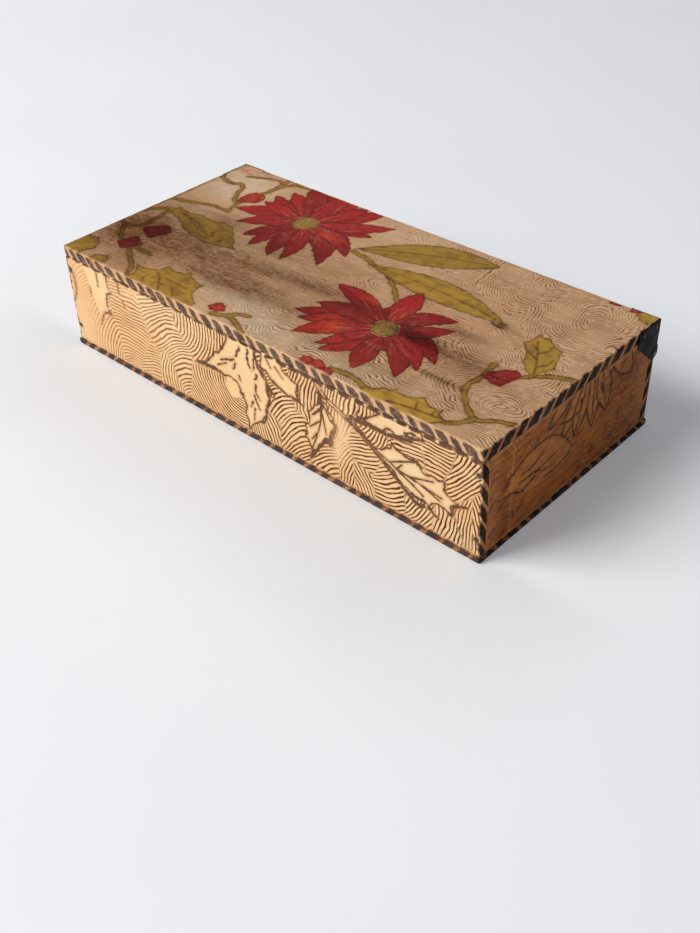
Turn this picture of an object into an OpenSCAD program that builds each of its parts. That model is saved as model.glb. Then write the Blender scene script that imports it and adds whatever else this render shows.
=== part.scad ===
// A long pyrography box: six thin wooden boards held by small wire nails, with a flat lid
// that turns on two nails through bent sheet-metal hinge plates at the back corners.
// X runs along the box, Y from front to back and Z up; the origin is under the middle of the base.

/* [Box] */
// Length over the end panels
box_l = 292; // [150:1:400]
// Width over the front and back panels
box_w = 140; // [90:1:260]
// Height from the table to the top of the lid
box_h = 63; // [50:0.5:150]

/* [Boards] */
// Thickness of the lid
lid_t = 6.3; // [5:0.1:9]
// Thickness of the four walls
wall_t = 4.8; // [4:0.1:8]
// Thickness of the base
base_t = 3.2; // [2:0.1:6]
// How far the base stands out past the walls, all round
base_lip = 1; // [1:0.1:3]

/* [Hinge plates] */
// Thickness of the sheet metal
sheet_t = 0.45; // [0.3:0.05:0.8]
// Gap between the plate and the walls that it swings past
sheet_gap = 0.25; // [0.2:0.05:0.5]
// How far the side leaf reaches forward from the back of the lid
side_reach = 19; // [16:0.5:30]
// Height of the side leaf's front edge
side_edge_h = 8; // [7:0.5:10]
// How far the plate's top edge lies below the top of the lid
top_inset = 0.4; // [0.2:0.1:1]
// How far the side leaf's round end stands out past the sheet above it
round_out = 0.3; // [0.2:0.05:0.6]
// How far the back leaf reaches along the back of the lid
back_reach = 16; // [14:0.5:30]
// Height of the pivot below the underside of the lid
pivot_drop = 12.3; // [10:0.1:20]
// Angle at which the back leaf stops against the back panel
lid_opens = 105; // [90:1:110]

/* [Nails] */
// Radius of the wire in the nails that join the boards
nail_r = 0.7; // [0.5:0.05:0.9]
// Radius of their heads
nail_head_r = 1.4; // [1.1:0.1:2]
// Thickness of their heads
nail_head_t = 0.4; // [0.3:0.05:0.7]
// Length of the nails through the front and back panels
corner_nail_l = 18; // [12:1:24]
// Length of the nails through the base
base_nail_l = 14; // [8:1:20]
// Height of each corner's lower nail above the table
low_nail_z = 12.5; // [8:0.5:15]
// Depth of the front corners' upper nails below the lid
front_nail_drop = 8; // [5:0.5:15]
// Depth of the back corners' upper nails below the lid, under the hinge plates
back_nail_drop = 20.5; // [18:0.5:24]
// Number of base nails along the front and along the back
long_row_count = 5; // [3:1:9]
// Distance of the outer base nails in a long row from the ends of the box
long_row_inset = 26; // [20:1:40]
// Number of base nails along each end
end_row_count = 2; // [2:1:4]
// Distance of the outer base nails in an end row from the front and back of the box
end_row_inset = 35; // [30:1:42]
// Radius of the pivot nails
pivot_r = 0.8; // [0.6:0.05:1]
// Length of the pivot nails
pivot_l = 16; // [10:1:24]
// Radius of the pivot nails' heads
pivot_head_r = 1.5; // [1.2:0.1:2.2]
// Radius of the tacks that hold the hinge plates to the lid
tack_r = 0.55; // [0.4:0.05:0.7]
// Length of the tacks
tack_l = 9; // [6:0.5:12]
// Radius of the tacks' heads
tack_head_r = 1.2; // [1:0.1:1.6]
// Thickness of the tacks' heads
tack_head_t = 0.3; // [0.2:0.05:0.4]
// Distance of the rear side tack from the back of the lid
tack_rear = 3.6; // [3:0.1:5]
// Distance of the front side tack from the back of the lid
tack_front = 15; // [10:0.5:15]
// Distance of the back tack from the end of the lid
tack_along = 12; // [11:0.5:13]

/* [Hidden] */
$fn = 48;

LEFT = -1;
RIGHT = 1;
FRONT = -1;
BACK = 1;

ease = 0.02;         // clearance of a nail in its own hole
pivot_clear = 0.05;  // running clearance of the plate round the pivot nail
head_clear = 0.1;    // gap between the plate and the pivot nail's head
head_sink = 0.1;     // how far the base nails' heads lie inside the base
cut = 1;             // how far a cutting tool runs past the face that it cuts

end_x = box_l / 2;
back_y = box_w / 2;
lid_z = box_h - lid_t;
mid_lid_z = box_h - lid_t / 2;

// The lid turns about the pivot nails, which are driven into the ends of the back panel.
pivot_y = back_y - wall_t / 2;
pivot_z = lid_z - pivot_drop;
pivot_in = back_y - pivot_y;

// The back panel stays under the circle that the lid's underside sweeps round the pivot.
back_top_z = pivot_z + sqrt(pivot_drop * pivot_drop - pivot_in * pivot_in) - sheet_gap;

// The sheet lies flat on the lid's edges and stands off the walls below.
plate_out = sheet_gap + sheet_t;
plate_top_z = box_h - top_inset;
ear_r = pivot_in + plate_out;
ear_front_y = back_y - side_reach;
ear_low_z = plate_top_z - side_edge_h;

// The back leaf's lower edge comes round to the back panel when the lid is open.
leaf_low_z = pivot_z + (ear_r - sheet_t - ear_r * cos(lid_opens)) / sin(lid_opens);

// A wire nail that points along -Z from the origin, which is the outside of its head.
module nail(length, r, head_r, head_t) {
    point_l = 2.5 * r;
    rotate_extrude()
        polygon([[0, 0], [head_r, 0], [head_r, -head_t], [r, -head_t],
                 [r, point_l - length], [0.15 * r, -length], [0, -length]]);
}

// The hole that such a nail fills, with a seat for its head, open above the origin.
module nail_hole(length, r, head_r, head_t) {
    translate([0, 0, -length - ease]) cylinder(h = length + ease, r = r + ease);
    translate([0, 0, -head_t - ease]) cylinder(h = head_t + ease + cut, r = head_r + ease);
}

// Turns -Z, the way a nail points, to the direction that is driven in from each side.
module drive_in_from_y(side) rotate([side == FRONT ? 90 : -90, 0, 0]) children();
module drive_in_from_x(side) rotate([0, side == RIGHT ? 90 : -90, 0]) children();
module drive_up() rotate([180, 0, 0]) children();

// Where the corner nails go, on the outside of the front or back panel.
module at_corner_nails(side, end) {
    high_z = lid_z - (side == FRONT ? front_nail_drop : back_nail_drop);
    for (z = [low_nail_z, high_z])
        translate([end * (end_x - wall_t / 2), side * back_y, z])
            drive_in_from_y(side) children();
}

// Where the base nails go, on the underside of the base.
function row(count, inset, length) =
    [for (i = [0 : count - 1]) inset - length / 2 + i * (length - 2 * inset) / (count - 1)];

module at_long_row(side) {
    for (x = row(long_row_count, long_row_inset, box_l))
        translate([x, side * (back_y - wall_t / 2), head_sink]) drive_up() children();
}

module at_end_row(end) {
    for (y = row(end_row_count, end_row_inset, box_w))
        translate([end * (end_x - wall_t / 2), y, head_sink]) drive_up() children();
}

module at_pivot(end, out)
    translate([end * (end_x + out), pivot_y, pivot_z]) drive_in_from_x(end) children();

// Where the tacks go: two in each end of the lid and one in its back edge.
module at_tacks(end) {
    for (inset = [tack_rear, tack_front])
        translate([end * (end_x + plate_out + tack_head_t), back_y - inset, mid_lid_z])
            drive_in_from_x(end) children();
    translate([end * (end_x - tack_along), back_y + plate_out + tack_head_t, mid_lid_z])
        drive_in_from_y(BACK) children();
}

module corner_nail() nail(corner_nail_l, nail_r, nail_head_r, nail_head_t);
module corner_nail_hole() nail_hole(corner_nail_l, nail_r, nail_head_r, nail_head_t);
module base_nail() nail(base_nail_l, nail_r, nail_head_r, nail_head_t);
module base_nail_hole() nail_hole(base_nail_l, nail_r, nail_head_r, nail_head_t);
module tack() nail(tack_l, tack_r, tack_head_r, tack_head_t);
module tack_hole()
    translate([0, 0, -tack_l - ease]) cylinder(h = tack_l + cut, r = tack_r + ease);

module all_base_nail_holes() {
    for (side = [FRONT, BACK]) at_long_row(side) base_nail_hole();
    for (end = [LEFT, RIGHT]) at_end_row(end) base_nail_hole();
}

module base_board() color("sienna") difference() {
    translate([-end_x - base_lip, -back_y - base_lip, 0])
        cube([box_l + 2 * base_lip, box_w + 2 * base_lip, base_t]);
    all_base_nail_holes();
}

// A board that runs the full length of the box at the front or the back.
module long_panel(side, top_z) difference() {
    translate([-end_x, side == FRONT ? -back_y : back_y - wall_t, base_t])
        cube([box_l, wall_t, top_z - base_t]);
    for (end = [LEFT, RIGHT]) at_corner_nails(side, end) corner_nail_hole();
    at_long_row(side) base_nail_hole();
}

module front_panel() color("burlywood") long_panel(FRONT, lid_z);

module back_panel() color("burlywood") difference() {
    long_panel(BACK, back_top_z);
    for (end = [LEFT, RIGHT]) at_pivot(end, pivot_seat) pivot_hole();
}

// A board that fits between the front and back panels.
module end_panel(end) color("peru") difference() {
    translate([end == LEFT ? -end_x : end_x - wall_t, wall_t - back_y, base_t])
        cube([wall_t, box_w - 2 * wall_t, lid_z - base_t]);
    for (side = [FRONT, BACK]) at_corner_nails(side, end) corner_nail_hole();
    at_end_row(end) base_nail_hole();
}

module lid_board() color("tan") difference() {
    translate([-end_x, -back_y, lid_z]) cube([box_l, box_w, lid_t]);
    for (end = [LEFT, RIGHT]) at_tacks(end) tack_hole();
}

// The pivot nail's head clears the plate, and the rest of it is driven into the back panel.
pivot_seat = plate_out + head_clear + nail_head_t;
module pivot_nail() nail(pivot_l, pivot_r, pivot_head_r, nail_head_t);
module pivot_hole()
    translate([0, 0, -pivot_l - ease]) cylinder(h = pivot_l + cut, r = pivot_r + ease);

// The side leaf's outline in Y and Z: square at the lid, then cut off along a line that
// runs down into the round end about the pivot.
function tangent_point(from, centre, r) =
    let (d = from - centre, n = norm(d), a = acos(r / n), b = atan2(d[1], d[0]))
    centre + r * [cos(b + a), sin(b + a)];

module side_outline() {
    pivot = [pivot_y, pivot_z];
    front_low = [ear_front_y, ear_low_z];
    back_edge_y = back_y + plate_out;
    polygon([front_low, tangent_point(front_low, pivot, ear_r), pivot,
             [back_edge_y, pivot_z], [back_edge_y, plate_top_z], [ear_front_y, plate_top_z]]);
    translate(pivot) circle(r = ear_r + round_out);
}

// The side leaf's sheet, from one distance outside the end of the box to another.
module side_sheet(end, from, to)
    translate([end == RIGHT ? end_x + from : -end_x - to, 0, 0])
        rotate([90, 0, 90]) linear_extrude(height = to - from) side_outline();

module hinge_plate(end) color("dimgray") difference() {
    union() {
        side_sheet(end, sheet_gap, plate_out);
        // Where the sheet is pressed back on to the lid's end.
        intersection() {
            side_sheet(end, 0, plate_out);
            translate([end * end_x - cut, ear_front_y, lid_z]) cube([2 * cut, side_reach + plate_out, lid_t]);
        }
        back_leaf(end);
    }
    at_pivot(end, pivot_seat) translate([0, 0, -pivot_l]) cylinder(h = pivot_l + cut, r = pivot_r + pivot_clear);
    at_tacks(end) tack_hole();
}

// The leaf bent round the back corner, flat on the lid's edge and clear of the panel below.
module back_leaf(end) {
    x = end == RIGHT ? end_x - back_reach : -end_x - plate_out;
    length = back_reach + plate_out;
    translate([x, back_y + sheet_gap, leaf_low_z]) cube([length, sheet_t, plate_top_z - leaf_low_z]);
    lid_x = end == RIGHT ? end_x - back_reach : -end_x;
    translate([lid_x, back_y, lid_z]) cube([back_reach, plate_out, plate_top_z - lid_z]);
}

module corner_nails(side, end) color("slategray") at_corner_nails(side, end) corner_nail();
module hinge_tacks(end) color("dimgray") at_tacks(end) tack();
module pivot_nail_at(end) color("black") at_pivot(end, pivot_seat) pivot_nail();
module long_row_nails(side) color("slategray") at_long_row(side) base_nail();
module end_row_nails(end) color("slategray") at_end_row(end) base_nail();

base_board();
front_panel();
back_panel();
end_panel(LEFT);  // left_end_panel
end_panel(RIGHT);  // right_end_panel
lid_board();
hinge_plate(LEFT);  // left_hinge_plate
hinge_plate(RIGHT);  // right_hinge_plate
pivot_nail_at(LEFT);  // left_pivot_nail
pivot_nail_at(RIGHT);  // right_pivot_nail
hinge_tacks(LEFT);  // left_hinge_tacks
hinge_tacks(RIGHT);  // right_hinge_tacks
corner_nails(FRONT, LEFT);  // front_left_nails
corner_nails(FRONT, RIGHT);  // front_right_nails
corner_nails(BACK, LEFT);  // back_left_nails
corner_nails(BACK, RIGHT);  // back_right_nails
long_row_nails(FRONT);  // base_front_nails
long_row_nails(BACK);  // base_back_nails
end_row_nails(LEFT);  // base_left_nails
end_row_nails(RIGHT);  // base_right_nails
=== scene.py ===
"""The looks of a long wooden box with burned and stained decoration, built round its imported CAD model.

Sizes are in millimetres in the model's own frame: X runs along the box to the right, Y from front to back and
Z up. Each board is a worn slab whose decorated face carries its drawing as fields on a fine grid of points,
which the board's material turns into burned lines, stains and wear.
"""

import logging
import math
from dataclasses import dataclass, field, replace
from enum import Enum
from functools import partial, reduce

import bpy
import numpy as np
from mathutils import Matrix, Vector


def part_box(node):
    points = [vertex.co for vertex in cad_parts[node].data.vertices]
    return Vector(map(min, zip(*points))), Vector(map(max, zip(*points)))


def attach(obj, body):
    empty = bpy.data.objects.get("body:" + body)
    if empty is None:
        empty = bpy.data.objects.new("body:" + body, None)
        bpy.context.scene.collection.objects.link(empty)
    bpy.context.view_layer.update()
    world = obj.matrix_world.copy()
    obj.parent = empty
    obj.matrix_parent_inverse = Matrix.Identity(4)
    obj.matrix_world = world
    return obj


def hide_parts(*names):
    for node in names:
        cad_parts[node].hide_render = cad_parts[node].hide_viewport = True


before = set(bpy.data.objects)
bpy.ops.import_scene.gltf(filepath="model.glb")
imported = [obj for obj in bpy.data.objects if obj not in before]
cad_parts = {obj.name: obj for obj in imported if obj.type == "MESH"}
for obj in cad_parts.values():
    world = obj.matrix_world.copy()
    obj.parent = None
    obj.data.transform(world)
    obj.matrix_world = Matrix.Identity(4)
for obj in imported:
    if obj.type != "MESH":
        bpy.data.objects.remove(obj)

LOG = logging.getLogger("pyrography_box")
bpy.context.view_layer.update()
MM = 0.001
FAR = 60.0  # a distance that stands for nothing near, in millimetres
BASE_T = 3.2  # the base board's thickness, where the walls start
PIVOT = (67.6, 44.4)  # the lid's pivot, as its place from front to back and its height
END_X = 143.6  # how far from the middle the nails into the end panels and the base's ends stand
FRONT_Z, BACK_Z = (12.5, 48.7), (12.5, 36.2)  # the heights of the front's nails and of the back's
TACK_Z = 59.85  # the height of the hinge plates' tacks
DAB_PITCH = 8.42  # from one dab to the next along the front of the lid and under it
LONG_X, LONG_Y = (-120, -60, 0, 60, 120), 67.6  # the places of the nails along the base's long sides
SHORT_Y = 35  # how far from the middle the nails at the base's ends are
Point = tuple[float, float]
Spot = tuple[float, float, float]
Four = tuple[float, float, float, float]
Array = np.ndarray
Socket = bpy.types.NodeSocket


def linear(shade: str) -> tuple[float, float, float, float]:
    """Turns an sRGB hex colour into linear light.

    Args:
        shade: six hex digits after a hash.

    Returns:
        Red, green, blue and an alpha of 1.
    """
    parts = (int(shade[i : i + 2], 16) / 255 for i in (1, 3, 5))
    red, green, blue = (p / 12.92 if p <= 0.04045 else ((p + 0.055) / 1.055) ** 2.4 for p in parts)
    return red, green, blue, 1.0


def wobble(u: Array, v: Array, size: float, seed: int) -> Array:
    """Smooth unevenness: nine sine waves in random directions, added up.

    Args:
        u: positions along the face.
        v: positions across it.
        size: the usual length of a wave.
        seed: picks the directions, lengths and starts.

    Returns:
        Values mostly between -1 and 1.
    """
    rng = np.random.default_rng(seed)
    turn = rng.uniform(0, 2 * math.pi, 9)
    pace = 2 * math.pi / (size * rng.uniform(0.7, 1.7, 9))
    start = rng.uniform(0, 2 * math.pi, 9)
    waves = np.sin(u[..., None] * (pace * np.cos(turn)) + v[..., None] * (pace * np.sin(turn)) + start)
    return waves.sum(-1) / 3.0


def smooth(low: float, high: float, value: Array) -> Array:
    """A soft step that leaves 0 at low and reaches 1 at high, three squares less two cubes."""
    t = np.clip((value - low) / (high - low), 0.0, 1.0)
    return t * t * (3 - 2 * t)


class Side(Enum):
    """A face of the box, as its directions along, up and out in the model's frame."""

    TOP = ((1, 0, 0), (0, 1, 0), (0, 0, 1))
    UNDER = ((1, 0, 0), (0, -1, 0), (0, 0, -1))
    FRONT = ((1, 0, 0), (0, 0, 1), (0, -1, 0))
    BACK = ((-1, 0, 0), (0, 0, 1), (0, 1, 0))
    LEFT = ((0, -1, 0), (0, 0, 1), (-1, 0, 0))
    RIGHT = ((0, 1, 0), (0, 0, 1), (1, 0, 0))

    def to_model(self, along: Array, up: Array, out: Array) -> Array:
        """Turns face coordinates into points, each the sum of the three directions times its coordinates."""
        return np.stack([along, up, out], -1) @ np.array(self.value, float)


class Paint(Enum):
    """The stain inside a drawn shape."""

    BARE = "bare"
    RED = "red"
    GREEN = "green"
    GOLD = "gold"


@dataclass
class Shape:
    """A drawn shape as fields on a grid.

    Attributes:
        edge: signed distance to its outline, below zero inside.
        across: how far a point lies to one side of its middle line, as a share of its width.
        along: how far a point lies along it, from 0 to 1.
        rib: distance to its burned ribs, or None.
    """

    edge: Array
    across: Array
    along: Array
    rib: Array | None = None


def joined(*shapes: Shape) -> Shape:
    """Joins shapes that overlap: each point takes after the shape whose edge it is deepest in.

    Args:
        shapes: the shapes.

    Returns:
        The one shape, with the ribs of all.
    """
    first, *rest = shapes
    for other in rest:
        near = other.edge < first.edge
        ribs = [s.rib for s in (first, other) if s.rib is not None]
        first = Shape(
            np.where(near, other.edge, first.edge),
            np.where(near, other.across, first.across),
            np.where(near, other.along, first.along),
            np.minimum.reduce(ribs) if ribs else None,
        )
    return first


class Face:
    """A grid of points on a drawn face, and the shapes that can be drawn on it.

    Attributes:
        u: positions along the face.
        v: positions across it.
    """

    def __init__(self, u: Array, v: Array) -> None:
        """Takes the points."""
        self.u, self.v = u, v

    def blade(
        self, base: Point, tip: Point, width: float, bend: float = 0.0, belly: float = 0.5,
        taper: float = 1.0, spines: int = 0, bite: float = 0.45, ribs: int | None = None, hook: float = 0.0,
    ) -> Shape:
        """A petal or leaf: a sine arch on each side of a parabola that runs from base to tip.

        The half width is width times the sine of pi times the run, raised to taper, with the run warped so
        that the widest place is at belly. Spines cut it with the size of a sine, whose sharp zeros stay as
        points that lean to the tip.

        Args:
            base: where the blade starts.
            tip: where it ends.
            width: half of its greatest width.
            bend: how far its middle bows to the left of the way from base to tip.
            belly: where along it is widest, as a share of its length.
            taper: over 1 draws out its ends.
            spines: how many scallops each side has.
            bite: how deep the scallops are, as a share of the width.
            ribs: how many side ribs, 0 for a middle rib only, or None for no ribs.
            hook: how far the tip turns to the left, with the fourth power of the run.

        Returns:
            The shape, its edge found as the sideways distance divided by the slant of the outline.
        """
        u, v = self.u, self.v
        axis = np.subtract(tip, base)
        length = float(np.hypot(*axis))
        c, s = axis / length
        run = ((u - base[0]) * c + (v - base[1]) * s) / length
        held = np.clip(run, 0.0, 1.0)
        off = (v - base[1]) * c - (u - base[0]) * s - bend * 4 * held * (1 - held) - hook * held**4
        warp = math.log(0.5) / math.log(belly)

        def half(t: Array) -> Array:
            """The half width.

            Args:
                t: shares of the length.

            Returns:
                The half width there.
            """
            t = np.clip(t, 0.0, 1.0)
            body = np.sin(math.pi * t**warp).clip(0) ** taper
            if spines:
                lean = np.clip(t - 0.1 * np.abs(off) / width, 0, 1)
                body = body * (1 - bite * np.abs(np.sin(math.pi * spines * lean)) ** 0.75)
            return width * body

        step = 0.01
        slope = (half(held + step) - half(held - step)) / (2 * step * length)
        size = half(held)
        beyond = (run - held) * length
        outside = np.hypot(np.maximum(np.abs(off) - size, 0), beyond)
        edge = np.where(beyond == 0, (np.abs(off) - size) / np.hypot(1.0, slope), outside)
        rib = None if ribs is None else np.where(held < 0.92, np.abs(off), FAR)
        if ribs:
            slant, cosine = 1.3, 0.61  # how far a rib leans to the tip, and the cosine of its angle
            turn = (held - slant * np.abs(off) / length) * ribs
            gap = np.abs(turn - np.round(turn)) * length / ribs * cosine
            shown = (np.abs(off) < 0.66 * size) & (held < 0.9) & (turn > 0.6)
            rib = np.minimum(rib, np.where(shown, gap + 0.08, FAR))
        return Shape(edge, off / (width + 0.5), held, rib)

    def nearest(self, line: Array) -> tuple[Array, Array, Array]:
        """Finds the nearest place on a line of points.

        Args:
            line: the points, one in each row.

        Returns:
            The distance, the share of the line passed there, and the distance with the sign of its left side.
        """
        u, v = self.u, self.v
        gap, share, side = np.full(u.shape, 10 * FAR), np.zeros(u.shape), np.zeros(u.shape)
        for i, (a, b) in enumerate(zip(line, line[1:])):
            way = b - a
            t = np.clip(((u - a[0]) * way[0] + (v - a[1]) * way[1]) / float(way @ way), 0, 1)
            du, dv = u - a[0] - t * way[0], v - a[1] - t * way[1]
            here = np.hypot(du, dv)
            near = here < gap
            gap = np.where(near, here, gap)
            share = np.where(near, (i + t) / (len(line) - 1), share)
            side = np.where(near, np.sign(way[0] * dv - way[1] * du) * here, side)
        return gap, share, side

    def stem(self, points: list[Point], width: float, taper: float = 0.5) -> Shape:
        """A stroke along a Catmull-Rom spline through points, which thins towards its end.

        Args:
            points: the places that it passes.
            width: its half width at the start.
            taper: the share of the width that is lost at the end.

        Returns:
            The shape, its edge the distance to the spline less the half width there.
        """
        p = np.asarray(points, float)
        p = np.vstack([2 * p[0] - p[1], p, 2 * p[-1] - p[-2]])
        t = np.linspace(0, 1, 8, endpoint=False)[:, None]
        runs = [
            0.5 * (2 * b + (c - a) * t + (2 * a - 5 * b + 4 * c - d) * t**2 + (3 * b - a - 3 * c + d) * t**3)
            for a, b, c, d in zip(p, p[1:], p[2:], p[3:])
        ]
        gap, share, side = self.nearest(np.vstack([*runs, p[-2:-1]]))
        return Shape(gap - width * (1 - taper * share), side / width, share * len(points))

    def spiny(self, spikes: list[Point], sag: float = 0.12, veins: list[list[Point]] | None = None) -> Shape:
        """A leaf with spikes, joined by parabolas that bow into it.

        A point is inside where a line to its right crosses the outline an odd number of times.

        Args:
            spikes: its corners, turning left round it from the base.
            sag: how deep the parabolas bow, as a share of their length.
            veins: its burned veins, each as the points that it passes.

        Returns:
            The shape.
        """
        u, v = self.u, self.v
        p = np.asarray(spikes, float)
        t = np.linspace(0, 1, 5, endpoint=False)[:, None]
        ends = zip(p, np.roll(p, -1, 0))
        sides = [a + (b - a) * t + (a - b)[::-1] * (1, -1) * 4 * sag * t * (1 - t) for a, b in ends]
        line = np.vstack([*sides, p[:1]])
        gap, _, _ = self.nearest(line)
        inside = np.zeros(u.shape, bool)
        for a, b in zip(line, line[1:]):
            rise = b[1] - a[1] or 1e-9
            inside ^= ((a[1] > v) != (b[1] > v)) & (u < a[0] + (b[0] - a[0]) * (v - a[1]) / rise)
        far = p[np.argmax(np.hypot(*(p - p[0]).T))] - p[0]
        along = ((u - p[0, 0]) * far[0] + (v - p[0, 1]) * far[1]) / float(far @ far)
        across = ((v - p[0, 1]) * far[0] - (u - p[0, 0]) * far[1]) / float(far @ far) * 2
        rib = np.minimum.reduce([self.stem(vein, 0.15).edge for vein in veins]) if veins else None
        return Shape(np.where(inside, -gap, gap), across, np.clip(along, 0, 1), rib)

    def spot(
        self, centre: Point, size: float, seed: float, squash: float = 1.0, uneven: float = 0.1
    ) -> Shape:
        """A berry or flower heart: a circle whose radius swells and shrinks with two sines of the angle.

        Args:
            centre: its middle.
            size: its radius.
            seed: turns the swellings.
            squash: its height as a share of its width.
            uneven: how far the radius varies, as a share.

        Returns:
            The shape.
        """
        u, v = self.u, self.v
        du, dv = u - centre[0], (v - centre[1]) / squash
        turn = np.arctan2(dv, du)
        rim = size * (1 + uneven * np.sin(3 * turn + seed) + 0.6 * uneven * np.sin(7 * turn + 2.1 * seed))
        reach = np.hypot(du, dv)
        return Shape(reach - rim, du / size, reach / size)


@dataclass(frozen=True)
class Ripple:
    """A place that burned rings spread from.

    Attributes:
        u: its position along the face.
        v: its position across the face.
        back: how far its rings are held back where they meet other rings.
        flat: over 1 stretches its rings along the face by that much, and under 1 across it.
        roof: over 0 makes its rings gables, whose sides rise towards u at this angle in degrees.
        seat: the middle of the patch that its rings fill, or None where the nearest ring counts.
    """

    u: float
    v: float
    back: float = 0.0
    flat: float = 1.0
    roof: float = 0.0
    seat: Point | None = None

    def reach(self, u: Array, v: Array) -> Array:
        """How far points are from it as its rings count it.

        A ring counts the length of the offset with one part shrunk. A gable counts the two parts times the
        sine and the cosine of its slope, with the ridge rounded over 3 mm.

        Args:
            u: the points' positions along the face.
            v: their positions across it.

        Returns:
            The distances.
        """
        du, dv = u - self.u, v - self.v
        if self.roof:
            slope = math.radians(self.roof)
            return np.hypot(du, 3) * math.sin(slope) + np.abs(dv) * math.cos(slope) + self.back
        return np.hypot(du / max(self.flat, 1), dv * min(self.flat, 1)) + self.back


class Drawing(Face):
    """What is burned into and stained on one board, as fields on its points.

    Distances are in millimetres and below zero inside a shape. The fields become the point attributes that
    BurnedWood reads.
    """

    def __init__(self, u: Array, v: Array) -> None:
        """Starts with a bare face.

        Args:
            u: the points' positions along it.
            v: their positions across it.
        """
        super().__init__(u, v)
        self.paint = {kind: np.full(u.shape, FAR) for kind in Paint}
        self.ink, self.clear, self.dabs = (np.full(u.shape, FAR) for _ in range(3))
        self.streak, self.along, self.tone, self.rings, self.toast = (np.zeros(u.shape) for _ in range(5))
        self.grime, self.fade, self.rubbed_and_lit = (np.zeros(u.shape) for _ in range(3))
        self.depth = np.ones(u.shape)
        self.stray = 0.3

    def lay(
        self, shape: Shape, paint: Paint, tone: float = 0.5, outlined: bool = True, faint: float = 0.0
    ) -> None:
        """Draws a shape over the rest: its stain covers others, and its outline hides the lines under it.

        The hand strays by about a third of a millimetre, or as stray says.

        Args:
            shape: what is drawn.
            paint: the stain inside it.
            tone: its own shade, from 0 to 1.
            outlined: whether its outline is burned.
            faint: how much its outline thins where it crosses the same stain, in millimetres.
        """
        edge = shape.edge = shape.edge + self.stray * wobble(self.u, self.v, 5.0, int(tone * 50) + 90)
        inside = edge < 0
        thin = faint * (self.paint[paint] < 0)
        for kind, there in self.paint.items():
            self.paint[kind] = np.minimum(there, edge) if kind is paint else np.maximum(there, -edge)
        self.clear = np.minimum(self.clear, edge)
        outline = np.minimum(self.ink, edge + thin) if outlined else self.ink
        self.ink = np.where(inside, thin - edge if outlined else 2 - edge, outline)
        if shape.rib is not None:
            self.ink = np.where(inside, np.minimum(self.ink, shape.rib + 0.1), self.ink)
        self.streak = np.where(inside, shape.across, self.streak)
        self.along = np.where(inside, shape.along, self.along)
        self.tone = np.where(inside, tone, self.tone)

    def blades(self, paint: Paint, *leaves: dict[str, object]) -> None:
        """Lays leaves of one stain, each given as the arguments of blade."""
        for i, leaf in enumerate(leaves):
            self.lay(self.blade(**leaf), paint, 0.3 + 0.4 * (i % 3) / 2)

    def stems(self, paint: Paint, width: float, *runs: list[Point]) -> None:
        """Lays stems that grow into each other as one shape, so that no outline crosses where they meet."""
        self.lay(joined(*(self.stem(run, width, 0.25) for run in runs)), paint, 0.25)

    def berries(self, paint: Paint, *spots: Four) -> None:
        """Lays berries, each given as its middle, radius and height as a share of its width."""
        for x, y, size, squash in spots:
            self.lay(self.spot((x, y), size, x, squash), paint, 0.45)

    def flower(self, centre: Point, petals: list[Four], seed: int, paint: Paint) -> None:
        """Lays a flower whose pointed petals overlap in a random order, on a disc that fills the gaps.

        Args:
            centre: its middle.
            petals: for each petal where it ends, half its greatest width and how far its tip turns to the
                left.
            seed: picks the order, bows and shades.
            paint: the petals' stain.
        """
        rng = np.random.default_rng(seed)
        reach = min(math.dist(petal[:2], centre) for petal in petals)
        self.lay(self.spot(centre, 0.6 * reach, seed), paint, 0.3, outlined=False)
        for i in np.argsort(rng.random(len(petals))):
            x, y, width, hook = petals[i]
            bow = rng.uniform(-1.2, 1.2) - 0.8 * hook
            belly, tone = rng.uniform(0.52, 0.62), rng.uniform(0.1, 0.9)
            petal = self.blade(centre, (x, y), 0.84 * width, bow, belly, 0.9, hook=1.4 * hook)
            self.lay(petal, paint, tone, faint=0.1)

    def heart(self, centre: Point, size: float, ring: float) -> None:
        """Lays a flower's golden heart in a ring left bare."""
        self.lay(self.spot(centre, size + ring, 1.0, uneven=0.03), Paint.BARE, outlined=False)
        self.lay(self.spot(centre, size, 2.0, uneven=0.04), Paint.GOLD)

    def scorch(self, *strokes: tuple[list[Point], float]) -> None:
        """Burns broad strokes.

        Args:
            strokes: each as the points that it passes and its half width.
        """
        for points, width in strokes:
            stroke = self.stem(points, width)
            stroke.edge = stroke.edge + 0.35 * min(1, width / 0.5) * wobble(self.u, self.v, 2.4, 77)
            self.ink = np.minimum(self.ink, np.maximum(stroke.edge + 0.2, 0))
            self.clear = np.minimum(self.clear, stroke.edge)

    def ripple(
        self, ripples: list[Ripple], size: float, sway: float, seed: int, tremble: float = 0.2
    ) -> None:
        """Fills the ground with rings of the nearest ripple's distance, which meet in creases.

        Where the ripples have seats, a point belongs to the nearest seat instead, with heights counted by
        0.6, and the lines thin out over the last half millimetre of each patch.

        Args:
            ripples: where the rings spread from.
            size: the usual length of the sways.
            sway: how far a ring strays from its circle.
            seed: picks the sways.
            tremble: how far it strays again over a few millimetres.
        """
        place = (self.u, self.v)
        u, v = (
            at + sway * wobble(*place, size, seed + i) + tremble * wobble(*place, 7, seed + 2 + i)
            for i, at in enumerate(place)
        )
        rings = np.stack([ripple.reach(u, v) for ripple in ripples])
        if ripples[0].seat is None:
            self.rings = rings.min(0)
            return
        seats = np.stack([np.hypot(u - ripple.seat[0], 0.6 * (v - ripple.seat[1])) for ripple in ripples])
        self.rings = np.take_along_axis(rings, seats.argmin(0)[None], 0)[0]
        first, second = np.partition(seats, 1, 0)[:2]
        self.depth = self.depth * (0.45 + 0.55 * smooth(0.1, 1.1, second - first))

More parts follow.
